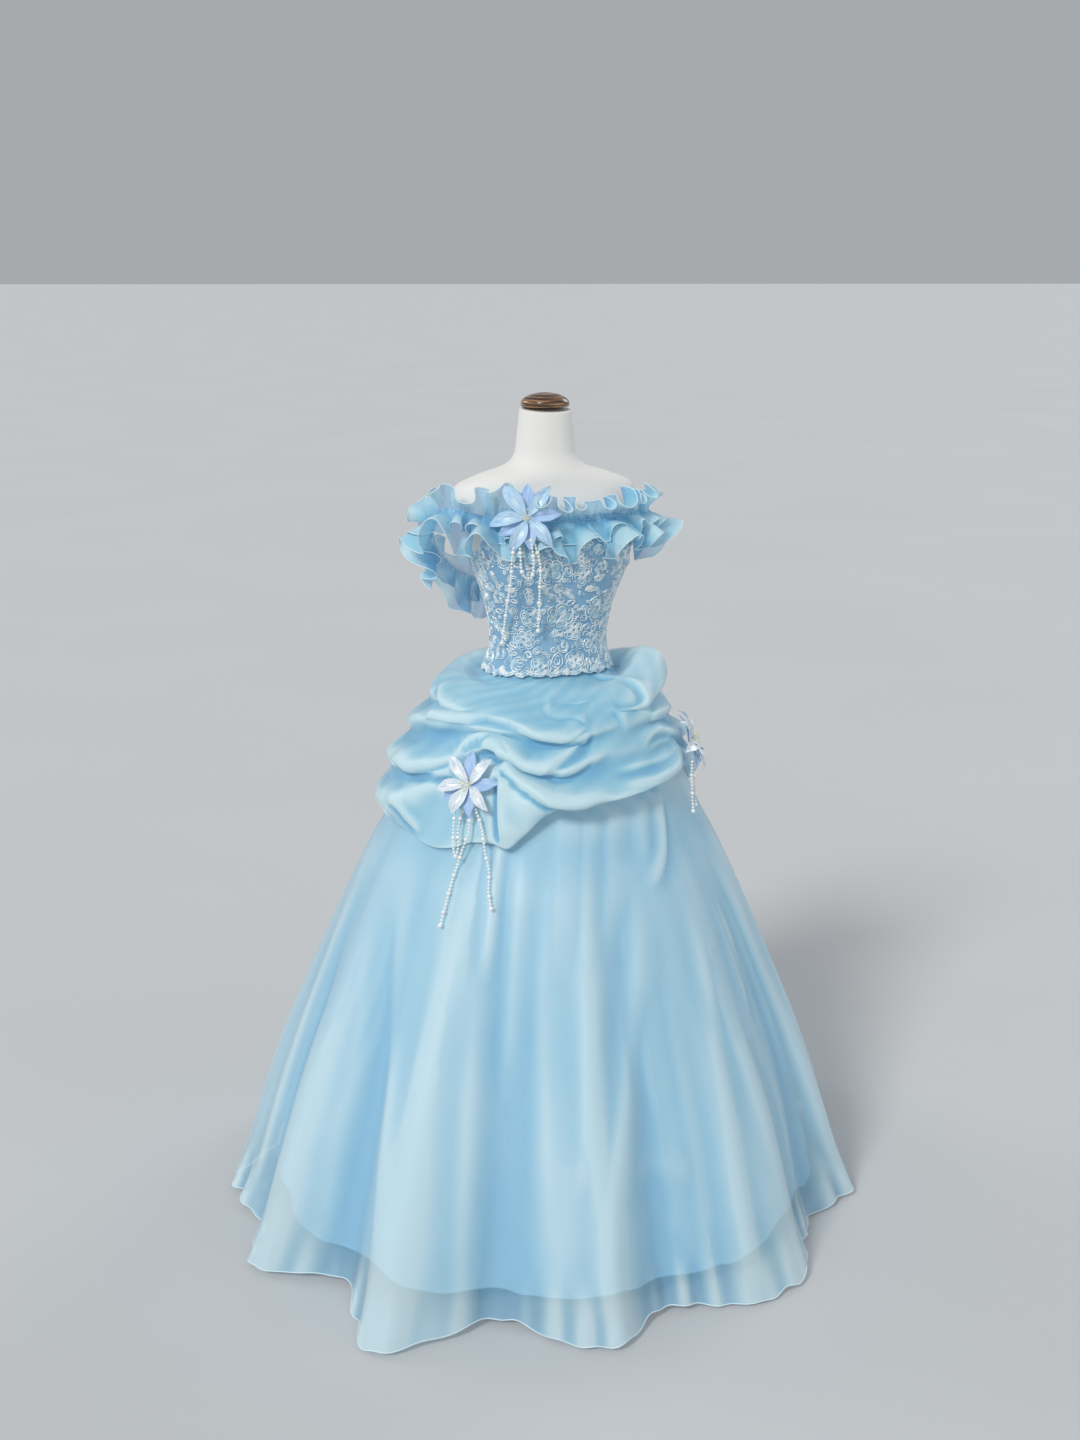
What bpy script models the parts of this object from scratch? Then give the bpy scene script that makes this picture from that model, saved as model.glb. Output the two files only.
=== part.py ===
"""Off-shoulder ball gown on a limbless dress form, as closed solids in metres, +Z up.

The front of the gown faces -Y. The origin is the centre of the stand's underside.
Angles called "turn" or "azimuth" are in degrees about +Z: 0 is the front, + is toward +X.
Each piece of cloth is a thin wall between an outer and an inner grid of points.
"""
import math

import bmesh
import bpy
import numpy as np

# ---------------------------------------------------------------- driving dimensions
SATIN_WALL = 0.0022
ORGANZA_WALL = 0.0012
LINING_WALL = 0.0010
SEAM_GAP = 0.0003
FORM_CLEARANCE = 0.0034

BASE_COLUMNS = 28
SKIRT_COLUMNS = 56
FRONT_LACE_COLUMNS = 44
FRONT_LACE_ROWS = 24
BACK_LACE_COLUMNS = 12
BACK_LACE_ROWS = 16
BODICE_INNER_ROWS = 11

NECK_TOP = 1.655
FORM_BOTTOM = 0.875
STAND_RADIUS = 0.190
STAND_HEIGHT = 0.022
POLE_RADIUS = 0.016

RUFFLE_WAVES = 34
RUFFLE_COLUMNS = 4 * RUFFLE_WAVES
RUFFLE_EASE = 0.002
RUFFLE_BEND_COLUMNS = 8
RUFFLE_HANG = 1.0
# The chest lily presses the ruffles flat under it.
PRESSED_TURN = -28.0
PRESSED_SPREAD = 22.0
PRESSED_SHARE = 0.68

ROUND_POWER = 0.87
BUST_X = 0.080
BUST_HEIGHT = 1.385
BUST_SPREAD = 0.046
BUST_DEPTH = 0.014
BUST_EASE = 0.0014

# Sections of the dress form: height, half width, depth in front of the pole,
# depth behind it, and how far the widest point lies in front of the pole.
TORSO_SECTIONS = (
    # height, half_width, front, back, lead
    (0.875, 0.090, 0.070, 0.070, 0.000),
    (0.890, 0.138, 0.098, 0.098, 0.000),
    (0.930, 0.160, 0.110, 0.116, 0.000),
    (1.000, 0.168, 0.114, 0.120, 0.002),
    (1.070, 0.155, 0.108, 0.108, 0.006),
    (1.120, 0.134, 0.102, 0.088, 0.012),
    (1.165, 0.117, 0.100, 0.073, 0.017),
    (1.205, 0.112, 0.100, 0.068, 0.018),
    (1.250, 0.118, 0.106, 0.071, 0.022),
    (1.300, 0.132, 0.116, 0.076, 0.028),
    (1.340, 0.146, 0.124, 0.080, 0.032),
    (1.380, 0.156, 0.127, 0.084, 0.032),
    (1.420, 0.168, 0.117, 0.086, 0.022),
    (1.455, 0.184, 0.103, 0.086, 0.006),
    (1.485, 0.192, 0.092, 0.085, -0.006),
    (1.508, 0.182, 0.084, 0.084, -0.010),
    (1.528, 0.136, 0.080, 0.080, -0.008),
    (1.545, 0.082, 0.073, 0.071, -0.004),
    (1.558, 0.0660, 0.066, 0.061, 0.000),
    (1.572, 0.0595, 0.061, 0.056, 0.001),
    (1.600, 0.0560, 0.057, 0.053, 0.002),
    (1.655, 0.0505, 0.051, 0.047, 0.002),
)

# Heights of the form's rings. Between two rings the form is straight.
FORM_LEVELS = (
    0.875, 0.890, 0.930, 1.000, 1.070, 1.110, 1.145, 1.180, 1.210, 1.240, 1.275, 1.310,
    1.345, 1.375, 1.405, 1.430, 1.457, 1.485, 1.508, 1.528, 1.545, 1.558, 1.572, 1.600, 1.655,
)

# Upper and lower edges of the bodice.
BODICE_TOP = (
    # turn, height
    (0.0, 1.456), (25.0, 1.458), (50.0, 1.452), (72.0, 1.398), (90.0, 1.376),
    (112.0, 1.348), (145.0, 1.316), (180.0, 1.308),
)
BODICE_BOTTOM = 1.138
SCALLOPS = 24
SCALLOP_DEPTH = 0.006
WAIST_FLARE = 0.0034
WAIST_FLARE_REACH = 0.040
WAIST_BAND = 0.014
ZIP_HALF = 0.0033
ZIP_SLIDER_WALL = 0.0013
ZIP_SLIDER = (
    # drop below the bodice's top, half width
    (0.012, 0.0030), (0.021, 0.0022), (0.040, 0.0024),
)

# Line along which both ruffle tiers are sewn: it lies on the bodice in front and behind,
# and hangs free round each upper arm.
RUFFLE_LINE = (
    # turn, height, stand_off
    (-180.0, 1.298, 0.0025),
    (-146.0, 1.302, 0.016),
    (-126.0, 1.335, 0.052),
    (-110.0, 1.388, 0.062),
    (-92.0, 1.448, 0.048),
    (-74.0, 1.474, 0.028),
    (-52.0, 1.462, 0.006),
    (-28.0, 1.450, 0.000),
    (0.0, 1.448, 0.000),
    (28.0, 1.450, 0.000),
    (52.0, 1.456, 0.004),
    (72.0, 1.458, 0.015),
    (90.0, 1.441, 0.023),
    (110.0, 1.412, 0.024),
    (128.0, 1.368, 0.018),
    (148.0, 1.320, 0.007),
)
# Rows of the double-edged upper tier and of the under tier, in millimetres.
UPPER_TIER = (
    # along, stand_out, wave
    (46.0, 17.0, 13.5),
    (20.0, 9.0, 7.0),
    (0.0, 3.8, 0.0),
    (-44.0, 22.0, 13.0),
)
UNDER_TIER = (
    # along, stand_out, wave
    (0.0, 1.9, 0.0),
    (-44.0, 12.0, 7.0),
    (-76.0, 18.0, 10.0),
)
RUFFLE_PARTS = (
    # name, first turn, last turn
    ("front", -62.0, 62.0),
    ("sleeve_left", 62.0, 138.0),
    ("back", 138.0, 222.0),
    ("sleeve_right", 222.0, 298.0),
)

# Mean radii of the two long layers, which leave the waist as an oval and become round.
SKIRT_PROFILE = (
    # height, lining, organza
    (1.146, 0.122, 0.130),
    (1.090, 0.160, 0.172),
    (1.040, 0.196, 0.210),
    (0.990, 0.228, 0.244),
    (0.940, 0.258, 0.276),
    (0.890, 0.284, 0.302),
    (0.840, 0.308, 0.326),
    (0.755, 0.350, 0.372),
    (0.640, 0.398, 0.424),
    (0.520, 0.440, 0.473),
    (0.400, 0.480, 0.522),
    (0.300, 0.510, 0.558),
    (0.200, 0.537, 0.588),
    (0.100, 0.562, 0.616),
    (0.000, 0.586, 0.652),
)
ORGANZA_HEM = 0.008
LINING_HEM = 0.046
HEM_LIFT = 0.010
LINING_WAIST_OUT = 0.0019
ORGANZA_WAIST_OUT = 0.0035
OVAL_START = 1.124
OVAL_END = 0.960
FLUTE_START = 0.930
FLUTE_POWER = 1.25
LINING_FLUTE_SHARE = 0.30
MEAN_HEM_RADIUS = 0.652

# Flutes of the hem: azimuth and radius of each crest and of the hollow after it.
HEM_FLUTES = (
    # crest_at, crest_radius, hollow_at, hollow_radius
    (-102.0, 0.684, -87.0, 0.642),
    (-75.0, 0.716, -60.0, 0.611),
    (-44.0, 0.757, -28.0, 0.604),
    (-10.0, 0.691, 3.0, 0.607),
    (18.0, 0.672, 36.0, 0.634),
    (28.0, 0.688, 47.0, 0.598),
    (60.0, 0.668, 74.0, 0.612),
    (89.0, 0.686, 105.0, 0.616),
    (121.0, 0.692, 138.0, 0.610),
    (155.0, 0.704, 172.0, 0.618),
    (189.0, 0.690, 206.0, 0.612),
    (222.0, 0.700, 240.0, 0.622),
)

# The picked-up upper layer. It comes out from under the bodice's edge, rises into puffs
# and runs outward and down. Near the waist it keeps a share of the form's oval.
DRAPE_TOP = 1.146
DRAPE_WAIST_ROWS = (
    # height, out
    (DRAPE_TOP, 0.0051), (1.1348, 0.0054),
)
DRAPE_PUFF_ROWS = (
    # radius, height, lift_share, oval_share, oval_out
    (0.160, 1.1260, 0.00, 0.85, 0.0260),
    (0.186, 1.111, 0.85, 0.40, 0.0410),
    (0.214, 1.095, 1.00, 0.12, 0.0570),
    (0.236, 1.078, 0.60, 0.00, 0.0770),
)
# Plain form of the drape below its puffs.
DRAPE_LOWER = (
    # height, radius
    (1.092, 0.226), (1.066, 0.240), (1.036, 0.256), (1.000, 0.278), (0.960, 0.300),
    (0.920, 0.318), (0.880, 0.330), (0.830, 0.342),
)
# How far the puffs at the waist rise and stand out, by azimuth.
PUFFS = (
    # azimuth, lift, stand_out
    (-150.0, 0.039, 0.006), (-108.0, 0.023, -0.006), (-60.0, 0.010, -0.008),
    (-20.0, 0.000, -0.010), (20.0, 0.016, 0.006), (44.0, 0.032, 0.010),
    (74.0, 0.069, 0.026), (100.0, 0.049, 0.012), (130.0, 0.031, 0.004),
    (170.0, 0.043, 0.010),
)
# Crests of the three rolled folds that run round the drape, one below the other.
FOLD_A = (
    # azimuth, height, rise
    (-180, 1.046, 0.014), (-150, 1.030, 0.018), (-118, 1.020, 0.020), (-104, 1.036, 0.022),
    (-81, 1.058, 0.020), (-58, 1.064, 0.014), (-39, 1.062, 0.010), (-22, 1.052, 0.010),
    (-9, 1.048, 0.011), (1, 1.056, 0.010), (9, 1.062, 0.004), (25, 1.062, 0.003),
    (46, 1.066, 0.012), (70, 1.052, 0.012), (95, 1.040, 0.018), (120, 1.030, 0.020),
    (150, 1.040, 0.016),
)
FOLD_B = (
    # azimuth, height, rise
    (-180, 0.985, 0.014), (-150, 0.965, 0.018), (-120, 0.955, 0.022), (-104, 0.962, 0.024),
    (-88, 0.966, 0.018), (-74, 0.980, 0.012), (-60, 1.004, 0.012), (-46, 1.030, 0.018),
    (-34, 1.018, 0.016), (-26, 1.002, 0.014), (-14, 0.998, 0.014), (-2, 1.012, 0.010),
    (8, 1.018, 0.002), (26, 1.016, 0.000), (48, 1.018, 0.004), (62, 1.016, 0.002),
    (80, 0.992, 0.014), (100, 0.974, 0.022), (125, 0.965, 0.020), (150, 0.975, 0.018),
)
FOLD_C = (
    # azimuth, height, rise
    (-180, 0.925, 0.016), (-150, 0.890, 0.020), (-120, 0.880, 0.022), (-104, 0.878, 0.022),
    (-90, 0.886, 0.020), (-76, 0.915, 0.012), (-62, 0.950, 0.000), (-52, 0.975, -0.010),
    (-43, 0.988, 0.012), (-36, 0.984, 0.020), (-29, 0.966, 0.024), (-20, 0.950, 0.026),
    (-8, 0.945, 0.026), (8, 0.948, 0.022), (24, 0.956, 0.020), (42, 0.966, 0.012),
    (57, 0.985, -0.008), (70, 0.955, 0.010), (88, 0.905, 0.018), (112, 0.885, 0.022),
    (140, 0.888, 0.020), (163, 0.910, 0.018),
)
HOLLOW_SHARE = 0.42
HOLLOW_DEPTH = 0.005
FULL_FOLD = 0.012
# Height of the drape's lower edge, by azimuth, and how far it stands off the organza. It
# is highest where it is caught up.
DRAPE_EDGE = (
    # azimuth, height, step
    (-135.0, 0.850, 0.010), (-112.0, 0.835, 0.009), (-92.0, 0.838, 0.007),
    (-76.0, 0.845, 0.007), (-62.0, 0.835, 0.008), (-52.0, 0.845, 0.010),
    (-45.0, 0.860, 0.012), (-38.0, 0.864, 0.016), (-32.5, 0.856, 0.020),
    (-27.0, 0.878, 0.024), (-19.0, 0.914, 0.030), (-8.0, 0.926, 0.032),
    (10.0, 0.934, 0.033), (36.0, 0.944, 0.032), (57.0, 0.956, 0.026),
    (70.0, 0.922, 0.018), (88.0, 0.866, 0.010), (112.0, 0.842, 0.010),
    (140.0, 0.850, 0.012), (163.0, 0.884, 0.014), (180.0, 0.900, 0.014),
    (198.0, 0.880, 0.012),
)
EDGE_TUCK = 0.0045

# Lilies: where the centre of each sits, how far its face leans up, and how far its throat
# reaches back.
LILIES = (
    # name, azimuth, height, petal_length, stand_out, lean, throat
    ("chest", -22.0, 1.459, 0.064, 0.0418, 20.0, 0.0252),
    ("hip_right", -47.0, 0.965, 0.064, 0.022, 26.0, 0.0204),
    ("hip_left", 58.0, 0.994, 0.060, 0.018, 24.0, 0.0204),
)
LILY_THICKNESS = 0.0014
LILY_HEART = 0.16
# Directions of the petals round the heart, clockwise from the top as seen from outside.
FRONT_PETALS = (-36.0, 38.0, 128.0, 200.0, 267.0)
BACK_PETALS = (2.0, 84.0, 164.0, 234.0)
PETAL_SIDE_ANGLE = 17.0
PETAL_SIDE_REACH = 0.64

# Pearl strands below each lily, from the root down. A root is given sideways from the
# lily's centre; stand-outs are from the dress form at the chest and from the organza at
# the hips.
PEARL_STRANDS = (
    # lily, root_across, (azimuth, height, stand_out) of each point
    ("chest", -0.022, ((-38.0, 1.371, 0.042), (-42.8, 1.330, 0.033),
                       (-53.7, 1.260, 0.025), (-61.5, 1.206, 0.020))),
    ("chest", -0.015, ((-32.8, 1.372, 0.038), (-30.9, 1.347, 0.035))),
    ("chest", 0.004, ((-26.2, 1.374, 0.036), (-27.6, 1.347, 0.034))),
    ("chest", 0.011, ((-23.0, 1.375, 0.037), (-21.8, 1.326, 0.033),
                      (-22.4, 1.271, 0.026), (-23.5, 1.235, 0.023))),
    ("hip_right", -0.022, ((-50.9, 0.880, 0.034), (-49.6, 0.835, 0.022))),
    ("hip_right", -0.014, ((-49.1, 0.880, 0.034), (-48.0, 0.842, 0.024))),
    ("hip_right", 0.008, ((-45.2, 0.885, 0.035), (-46.6, 0.843, 0.026),
                          (-48.1, 0.812, 0.012), (-48.5, 0.752, 0.012),
                          (-48.6, 0.711, 0.012))),
    ("hip_right", 0.016, ((-40.6, 0.890, 0.039), (-38.9, 0.852, 0.031),
                          (-37.4, 0.812, 0.012), (-36.2, 0.770, 0.012),
                          (-35.1, 0.749, 0.012))),
    ("hip_left", -0.033, ((46.5, 0.920, 0.034), (44.8, 0.868, 0.018))),
    ("hip_left", -0.025, ((50.5, 0.920, 0.034), (48.2, 0.876, 0.020))),
)
BACKING_DROP = 0.034
BACKING_BEHIND = 0.0027
PEARL_PITCH = 0.016
PEARL_HALF = 0.0034
THREAD_HALF = 0.0013
BACKING_HEIGHT = 0.004


# ---------------------------------------------------------------- curves through tables
def curve(x, xs, ys):
    """Smooth curve through (xs, ys) that never swings past its points."""
    xs = np.asarray(xs, float)
    ys = np.asarray(ys, float)
    x = np.clip(np.asarray(x, float), xs[0], xs[-1])
    step = np.diff(xs)
    rise = np.diff(ys) / step
    slope = np.zeros_like(ys)
    slope[0] = rise[0]
    slope[-1] = rise[-1]
    same_way = rise[:-1] * rise[1:] > 0
    total = rise[:-1] + rise[1:]
    safe_total = np.where(same_way, total, 1.0)
    slope[1:-1] = np.where(same_way, 2.0 * rise[:-1] * rise[1:] / safe_total, 0.0)
    i = np.clip(np.searchsorted(xs, x) - 1, 0, len(step) - 1)
    h = step[i]
    u = (x - xs[i]) / h
    start = (1 + 2 * u) * (1 - u) ** 2 * ys[i] + u * (1 - u) ** 2 * h * slope[i]
    end = u * u * (3 - 2 * u) * ys[i + 1] + u * u * (u - 1) * h * slope[i + 1]
    return start + end


def around(turn, turns, values):
    """Smooth curve through a table that repeats every 360 degrees."""
    order = np.argsort(turns)
    turns = np.asarray(turns, float)[order]
    values = np.asarray(values, float)[order]
    long_turns = np.concatenate([turns - 360, turns, turns + 360])
    long_values = np.concatenate([values, values, values])
    wrapped = (np.asarray(turn, float) + 180.0) % 360.0 - 180.0
    return curve(wrapped, long_turns, long_values)


def column(table, index):
    """One named column of a table."""
    return [row[index] for row in table]


def mirrored(turn, table):
    """Value of a table that is the same on the left and the right."""
    folded = np.abs((np.asarray(turn, float) + 180.0) % 360.0 - 180.0)
    return curve(folded, column(table, 0), column(table, 1))


def smooth_step(x):
    """0 below 0, 1 above 1, and smooth between."""
    x = np.clip(x, 0.0, 1.0)
    return x * x * (3 - 2 * x)


# ---------------------------------------------------------------- surfaces
def body_section(turn, height):
    """Point of the dress form's surface at a turn and a height."""
    heights = column(TORSO_SECTIONS, 0)
    half_width, front, back, lead = (
        np.interp(height, FORM_LEVELS, curve(FORM_LEVELS, heights, column(TORSO_SECTIONS, k)))
        for k in (1, 2, 3, 4)
    )
    angle = np.radians(turn)
    s = np.sin(angle)
    c = np.cos(angle)
    x = half_width * np.sign(s) * np.abs(s) ** ROUND_POWER
    depth = np.where(c > 0, front - lead, back + lead)
    y = -lead - depth * np.sign(c) * np.abs(c) ** ROUND_POWER
    swells = np.exp(-((np.array(FORM_LEVELS) - BUST_HEIGHT) / BUST_SPREAD) ** 2)
    swell = np.interp(height, FORM_LEVELS, swells)
    cups = np.exp(-((np.abs(x) - BUST_X) / BUST_SPREAD) ** 2)
    y = y - BUST_DEPTH * swell * cups * (c > 0)
    return x, y


def body_point(turn, height, out):
    """Point that stands a distance out from the dress form."""
    turn = np.asarray(turn, float)
    height = np.asarray(height, float)
    x, y = body_section(turn, height)
    ahead = body_section(turn + 2.0, height)
    behind = body_section(turn - 2.0, height)
    along_x = ahead[0] - behind[0]
    along_y = ahead[1] - behind[1]
    length = np.hypot(along_x, along_y)
    px = x + out * along_y / length
    py = y - out * along_x / length
    return np.stack([px, py, np.broadcast_to(height, px.shape)], axis=-1)


def round_point(azimuth, radius, height):
    """Point at an azimuth and a radius from the pole."""
    angle = np.radians(azimuth)
    x = radius * np.sin(angle)
    y = -radius * np.cos(angle)
    return np.stack([x, y, np.broadcast_to(height, x.shape)], axis=-1)


def hem_radius(azimuth):
    """Radius of the organza's fluted hem."""
    at = column(HEM_FLUTES, 0) + column(HEM_FLUTES, 2)
    radius = column(HEM_FLUTES, 1) + column(HEM_FLUTES, 3)
    return around(azimuth, at, radius)


def flute(azimuth, height):
    """How far the organza's flutes stand out at a height."""
    grow = np.clip((FLUTE_START - height) / FLUTE_START, 0.0, 1.0) ** FLUTE_POWER
    return (hem_radius(azimuth) - MEAN_HEM_RADIUS) * grow


def skirt_point(azimuth, height, layer, waist_out):
    """Point of a long layer: layer 1 is the lining and layer 2 the organza."""
    azimuth = np.asarray(azimuth, float)
    height = np.asarray(height, float)
    heights = column(SKIRT_PROFILE, 0)[::-1]
    mean = curve(height, heights, column(SKIRT_PROFILE, layer)[::-1])
    share = LINING_FLUTE_SHARE if layer == 1 else 1.0
    loose = round_point(azimuth, mean + flute(azimuth, height) * share, height)
    held = body_point(azimuth, height, waist_out)
    weight = smooth_step((height - OVAL_END) / (OVAL_START - OVAL_END))[..., None]
    return held * weight + loose * (1 - weight)


def drape_radius(height):
    """Radius of the drape's plain form."""
    return curve(height, column(DRAPE_LOWER, 0)[::-1], column(DRAPE_LOWER, 1)[::-1])


def fold_line(azimuths, fold):
    """Height and rise of a fold's crest at each azimuth."""
    height = around(azimuths, column(fold, 0), column(fold, 1))
    rise = around(azimuths, column(fold, 0), column(fold, 2))
    return height, rise


def drape_grid(azimuths):
    """Outer points of the drape, from the waist to its turned-under lower edge."""
    lift = around(azimuths, column(PUFFS, 0), column(PUFFS, 1))
    stand = around(azimuths, column(PUFFS, 0), column(PUFFS, 2))
    edge = around(azimuths, column(DRAPE_EDGE, 0), column(DRAPE_EDGE, 1))
    waist = np.full_like(azimuths, DRAPE_TOP)
    rows = [body_point(azimuths, waist * 0 + level, out) for level, out in DRAPE_WAIST_ROWS]
    for radius, height, share, oval, out in DRAPE_PUFF_ROWS:
        level = height + lift * share
        free = round_point(azimuths, radius + stand * share, level)
        near = body_point(azimuths, waist, out)
        near[:, 2] = level
        rows.append(near * oval + free * (1 - oval))

    lines = [(rows[-1][:, 2], stand * 0.0)]
    lines += [fold_line(azimuths, fold) for fold in (FOLD_A, FOLD_B, FOLD_C)]
    for (upper, _), (crest, rise) in zip(lines[:-1], lines[1:]):
        hollow = upper + (crest - upper) * HOLLOW_SHARE
        depth = np.minimum(HOLLOW_DEPTH, (upper - crest) * 0.15)
        depth *= np.clip(rise / FULL_FOLD, 0.0, 1.0)
        for level, out in ((hollow, -depth), (crest, rise)):
            radius = drape_radius(level) + flute(azimuths, level) + out
            rows.append(round_point(azimuths, radius, level))
    cloth = skirt_point(azimuths, edge, 2, ORGANZA_WAIST_OUT)
    radius = np.hypot(cloth[:, 0], cloth[:, 1]) + EDGE_TUCK
    step = around(azimuths, column(DRAPE_EDGE, 0), column(DRAPE_EDGE, 2))
    rows.append(round_point(azimuths, radius + step, edge + 0.006))
    rows.append(round_point(azimuths, radius, edge - 0.001))
    return np.array(rows)


# ---------------------------------------------------------------- mesh building
def surface_normals(grid):
    """Unit normals of a grid of points, facing away from the pole."""
    down = np.gradient(grid, axis=0)
    across = np.gradient(grid, axis=1)
    normal = np.cross(down, across)
    normal /= np.linalg.norm(normal, axis=-1, keepdims=True)
    return normal


def split_quads(grid, first, flip, waved=False):
    """Triangles of a grid whose points are numbered from first, row by row.

    A waved grid is split the same way in every layer, so that layers stay apart.
    """
    rows, columns = grid.shape[:2]
    faces = []
    for i in range(rows - 1):
        for j in range(columns - 1):
            a = first + i * columns + j
            b = a + 1
            c = b + columns
            d = a + columns
            one = np.linalg.norm(grid[i, j] - grid[i + 1, j + 1])
            other = np.linalg.norm(grid[i, j + 1] - grid[i + 1, j])
            if waved:
                one = (j // 2) % 2
                other = 0.5
            if one <= other:
                pair = [(a, b, c), (a, c, d)]
            else:
                pair = [(a, b, d), (b, c, d)]
            faces += [face[::-1] for face in pair] if flip else pair
    return faces


def border_sides(rows, columns, first):
    """The four sides of a grid's border as point numbers, and whether each runs backward."""
    top = [first + j for j in range(columns)]
    bottom = [first + (rows - 1) * columns + j for j in range(columns)]
    left = [first + i * columns for i in range(rows)]
    right = [first + i * columns + columns - 1 for i in range(rows)]
    return (top, False), (right, False), (bottom, True), (left, True)


def stitch(one, other):
    """Triangles between two rows of point numbers that may differ in count."""
    faces = []
    i = 0
    j = 0
    while i < len(one) - 1 or j < len(other) - 1:
        next_one = (i + 1) / (len(one) - 1)
        next_other = (j + 1) / (len(other) - 1)
        if j == len(other) - 1 or (i < len(one) - 1 and next_one <= next_other + 1e-9):
            faces.append((one[i], other[j], one[i + 1]))
            i += 1
        else:
            faces.append((one[i], other[j], other[j + 1]))
            j += 1
    return faces


def add_object(name, points, faces, material, smooth=True):
    """One named object from points and faces, with its faces pointing out."""
    mesh = bpy.data.meshes.new(name)
    mesh.from_pydata([tuple(map(float, p)) for p in points], [], faces)
    shell = bmesh.new()
    shell.from_mesh(mesh)
    if shell.calc_volume(signed=True) < 0:
        bmesh.ops.reverse_faces(shell, faces=shell.faces)
    shell.to_mesh(mesh)
    shell.free()
    if smooth:
        mesh.shade_smooth()
    mesh.materials.append(material)
    thing = bpy.data.objects.new(name, mesh)
    bpy.context.scene.collection.objects.link(thing)
    return thing


def pull_ends(grid, gap):
    """Draw the first and last columns in by a distance, to leave a seam gap."""
    grid = grid.copy()
    for end, inward in ((0, 1), (-1, -2)):
        step = grid[:, inward] - grid[:, end]
        step /= np.linalg.norm(step, axis=-1, keepdims=True)
        grid[:, end] += step * gap
    return grid


def wall(name, outer, inner, material, waved=False):
    """Closed solid between an outer and an inner grid."""
    outer_rows, outer_columns = outer.shape[:2]
    inner_rows, inner_columns = inner.shape[:2]
    start = outer_rows * outer_columns
    points = list(outer.reshape(-1, 3)) + list(inner.reshape(-1, 3))
    faces = split_quads(outer, 0, True, waved)
    guide = outer if outer.shape == inner.shape else inner
    faces += split_quads(guide, start, False, waved)
    outer_sides = border_sides(outer_rows, outer_columns, 0)
    inner_sides = border_sides(inner_rows, inner_columns, start)
    for (one, backward), (other, _) in zip(outer_sides, inner_sides):
        strip = stitch(one, other)
        faces += strip if backward else [face[::-1] for face in strip]
    return add_object(name, points, faces, material)


def cloth_panel(name, grid, thickness, material, waved=False):
    """Wall of even thickness; the grid has one spare column past each end."""
    inner = grid - surface_normals(grid) * thickness
    outer = pull_ends(grid[:, 1:-1], SEAM_GAP / 2)
    inner = pull_ends(inner[:, 1:-1], SEAM_GAP / 2)
    return wall(name, outer, inner, material, waved)


def turned(name, profile, sides, material, centre=(0.0, 0.0)):
    """Solid of revolution from (radius, height) points, bottom to top."""
    points = [(centre[0], centre[1], profile[0][1])]
    for radius, height in profile:
        for k in range(sides):
            angle = 2 * math.pi * k / sides
            x = centre[0] + radius * math.cos(angle)
            y = centre[1] + radius * math.sin(angle)
            points.append((x, y, height))
    points.append((centre[0], centre[1], profile[-1][1]))
    last = len(points) - 1
    faces = []
    for k in range(sides):
        after = (k + 1) % sides
        faces.append((0, 1 + after, 1 + k))
        for row in range(len(profile) - 1):
            low = 1 + row * sides
            high = low + sides
            faces.append((low + k, low + after, high + after, high + k))
        top = 1 + (len(profile) - 1) * sides
        faces.append((top + k, top + after, last))
    thing = add_object(name, points, faces, material)
    thing.data.set_sharp_from_angle(angle=math.radians(40))
    return thing


def finish(name, colour, roughness, metallic=0.0, alpha=1.0):
    """Principled material."""
    material = bpy.data.materials.new(name)
    material.use_nodes = True
    shader = material.node_tree.nodes["Principled BSDF"]
    shader.inputs["Base Color"].default_value = (*colour, 1.0)
    shader.inputs["Roughness"].default_value = roughness
    shader.inputs["Metallic"].default_value = metallic
    shader.inputs["Alpha"].default_value = alpha
    material.diffuse_color = (*colour, 1.0)
    return material


# ---------------------------------------------------------------- the dress form
def make_form(materials):
    """Torso with neck, turned neck cap, pole and round base."""
    turns = np.arange(BASE_COLUMNS) * 360.0 / BASE_COLUMNS
    rings = []
    for height in FORM_LEVELS:
        slant = 0.004 * smooth_step((height - 1.600) / (NECK_TOP - 1.600))
        ring = body_point(turns, np.full_like(turns, height), 0.0)
        ring[:, 2] -= slant * np.cos(np.radians(turns))
        rings.append(ring)
    points = [(0.0, 0.0, FORM_BOTTOM)]
    for ring in rings:
        points += [tuple(p) for p in ring]
    points.append((0.0, 0.0, NECK_TOP))
    faces = []
    top = 1 + (len(rings) - 1) * BASE_COLUMNS
    for k in range(BASE_COLUMNS):
        after = (k + 1) % BASE_COLUMNS
        faces.append((0, 1 + k, 1 + after))
        for row in range(len(rings) - 1):
            low = 1 + row * BASE_COLUMNS
            high = low + BASE_COLUMNS
            faces.append((low + k, high + k, high + after, low + after))
        faces.append((top + k, len(points) - 1, top + after))
    torso = add_object("form_torso", points, faces, materials["form"])
    torso.data.set_sharp_from_angle(angle=math.radians(50))

    cap = (
        (0.0460, 0.0000), (0.0480, 0.0015), (0.0480, 0.0095), (0.0445, 0.0145),
        (0.0370, 0.0195), (0.0260, 0.0237), (0.0130, 0.0265), (0.0050, 0.0275),
    )
    cap_base = NECK_TOP + 0.0045
    turned("form_neck_cap", [(r, cap_base + h) for r, h in cap], 16, materials["wood"])
    turned(
        "form_pole",
        [(POLE_RADIUS, STAND_HEIGHT + SEAM_GAP), (POLE_RADIUS, FORM_BOTTOM - SEAM_GAP)],
        10, materials["metal"],
    )
    foot = (
        (STAND_RADIUS - 0.002, 0.0), (STAND_RADIUS, 0.003), (STAND_RADIUS, 0.010),
        (STAND_RADIUS - 0.012, 0.014), (0.040, STAND_HEIGHT), (0.0, STAND_HEIGHT),
    )
    turned("form_base", foot[:-1], 24, materials["metal"])


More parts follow.
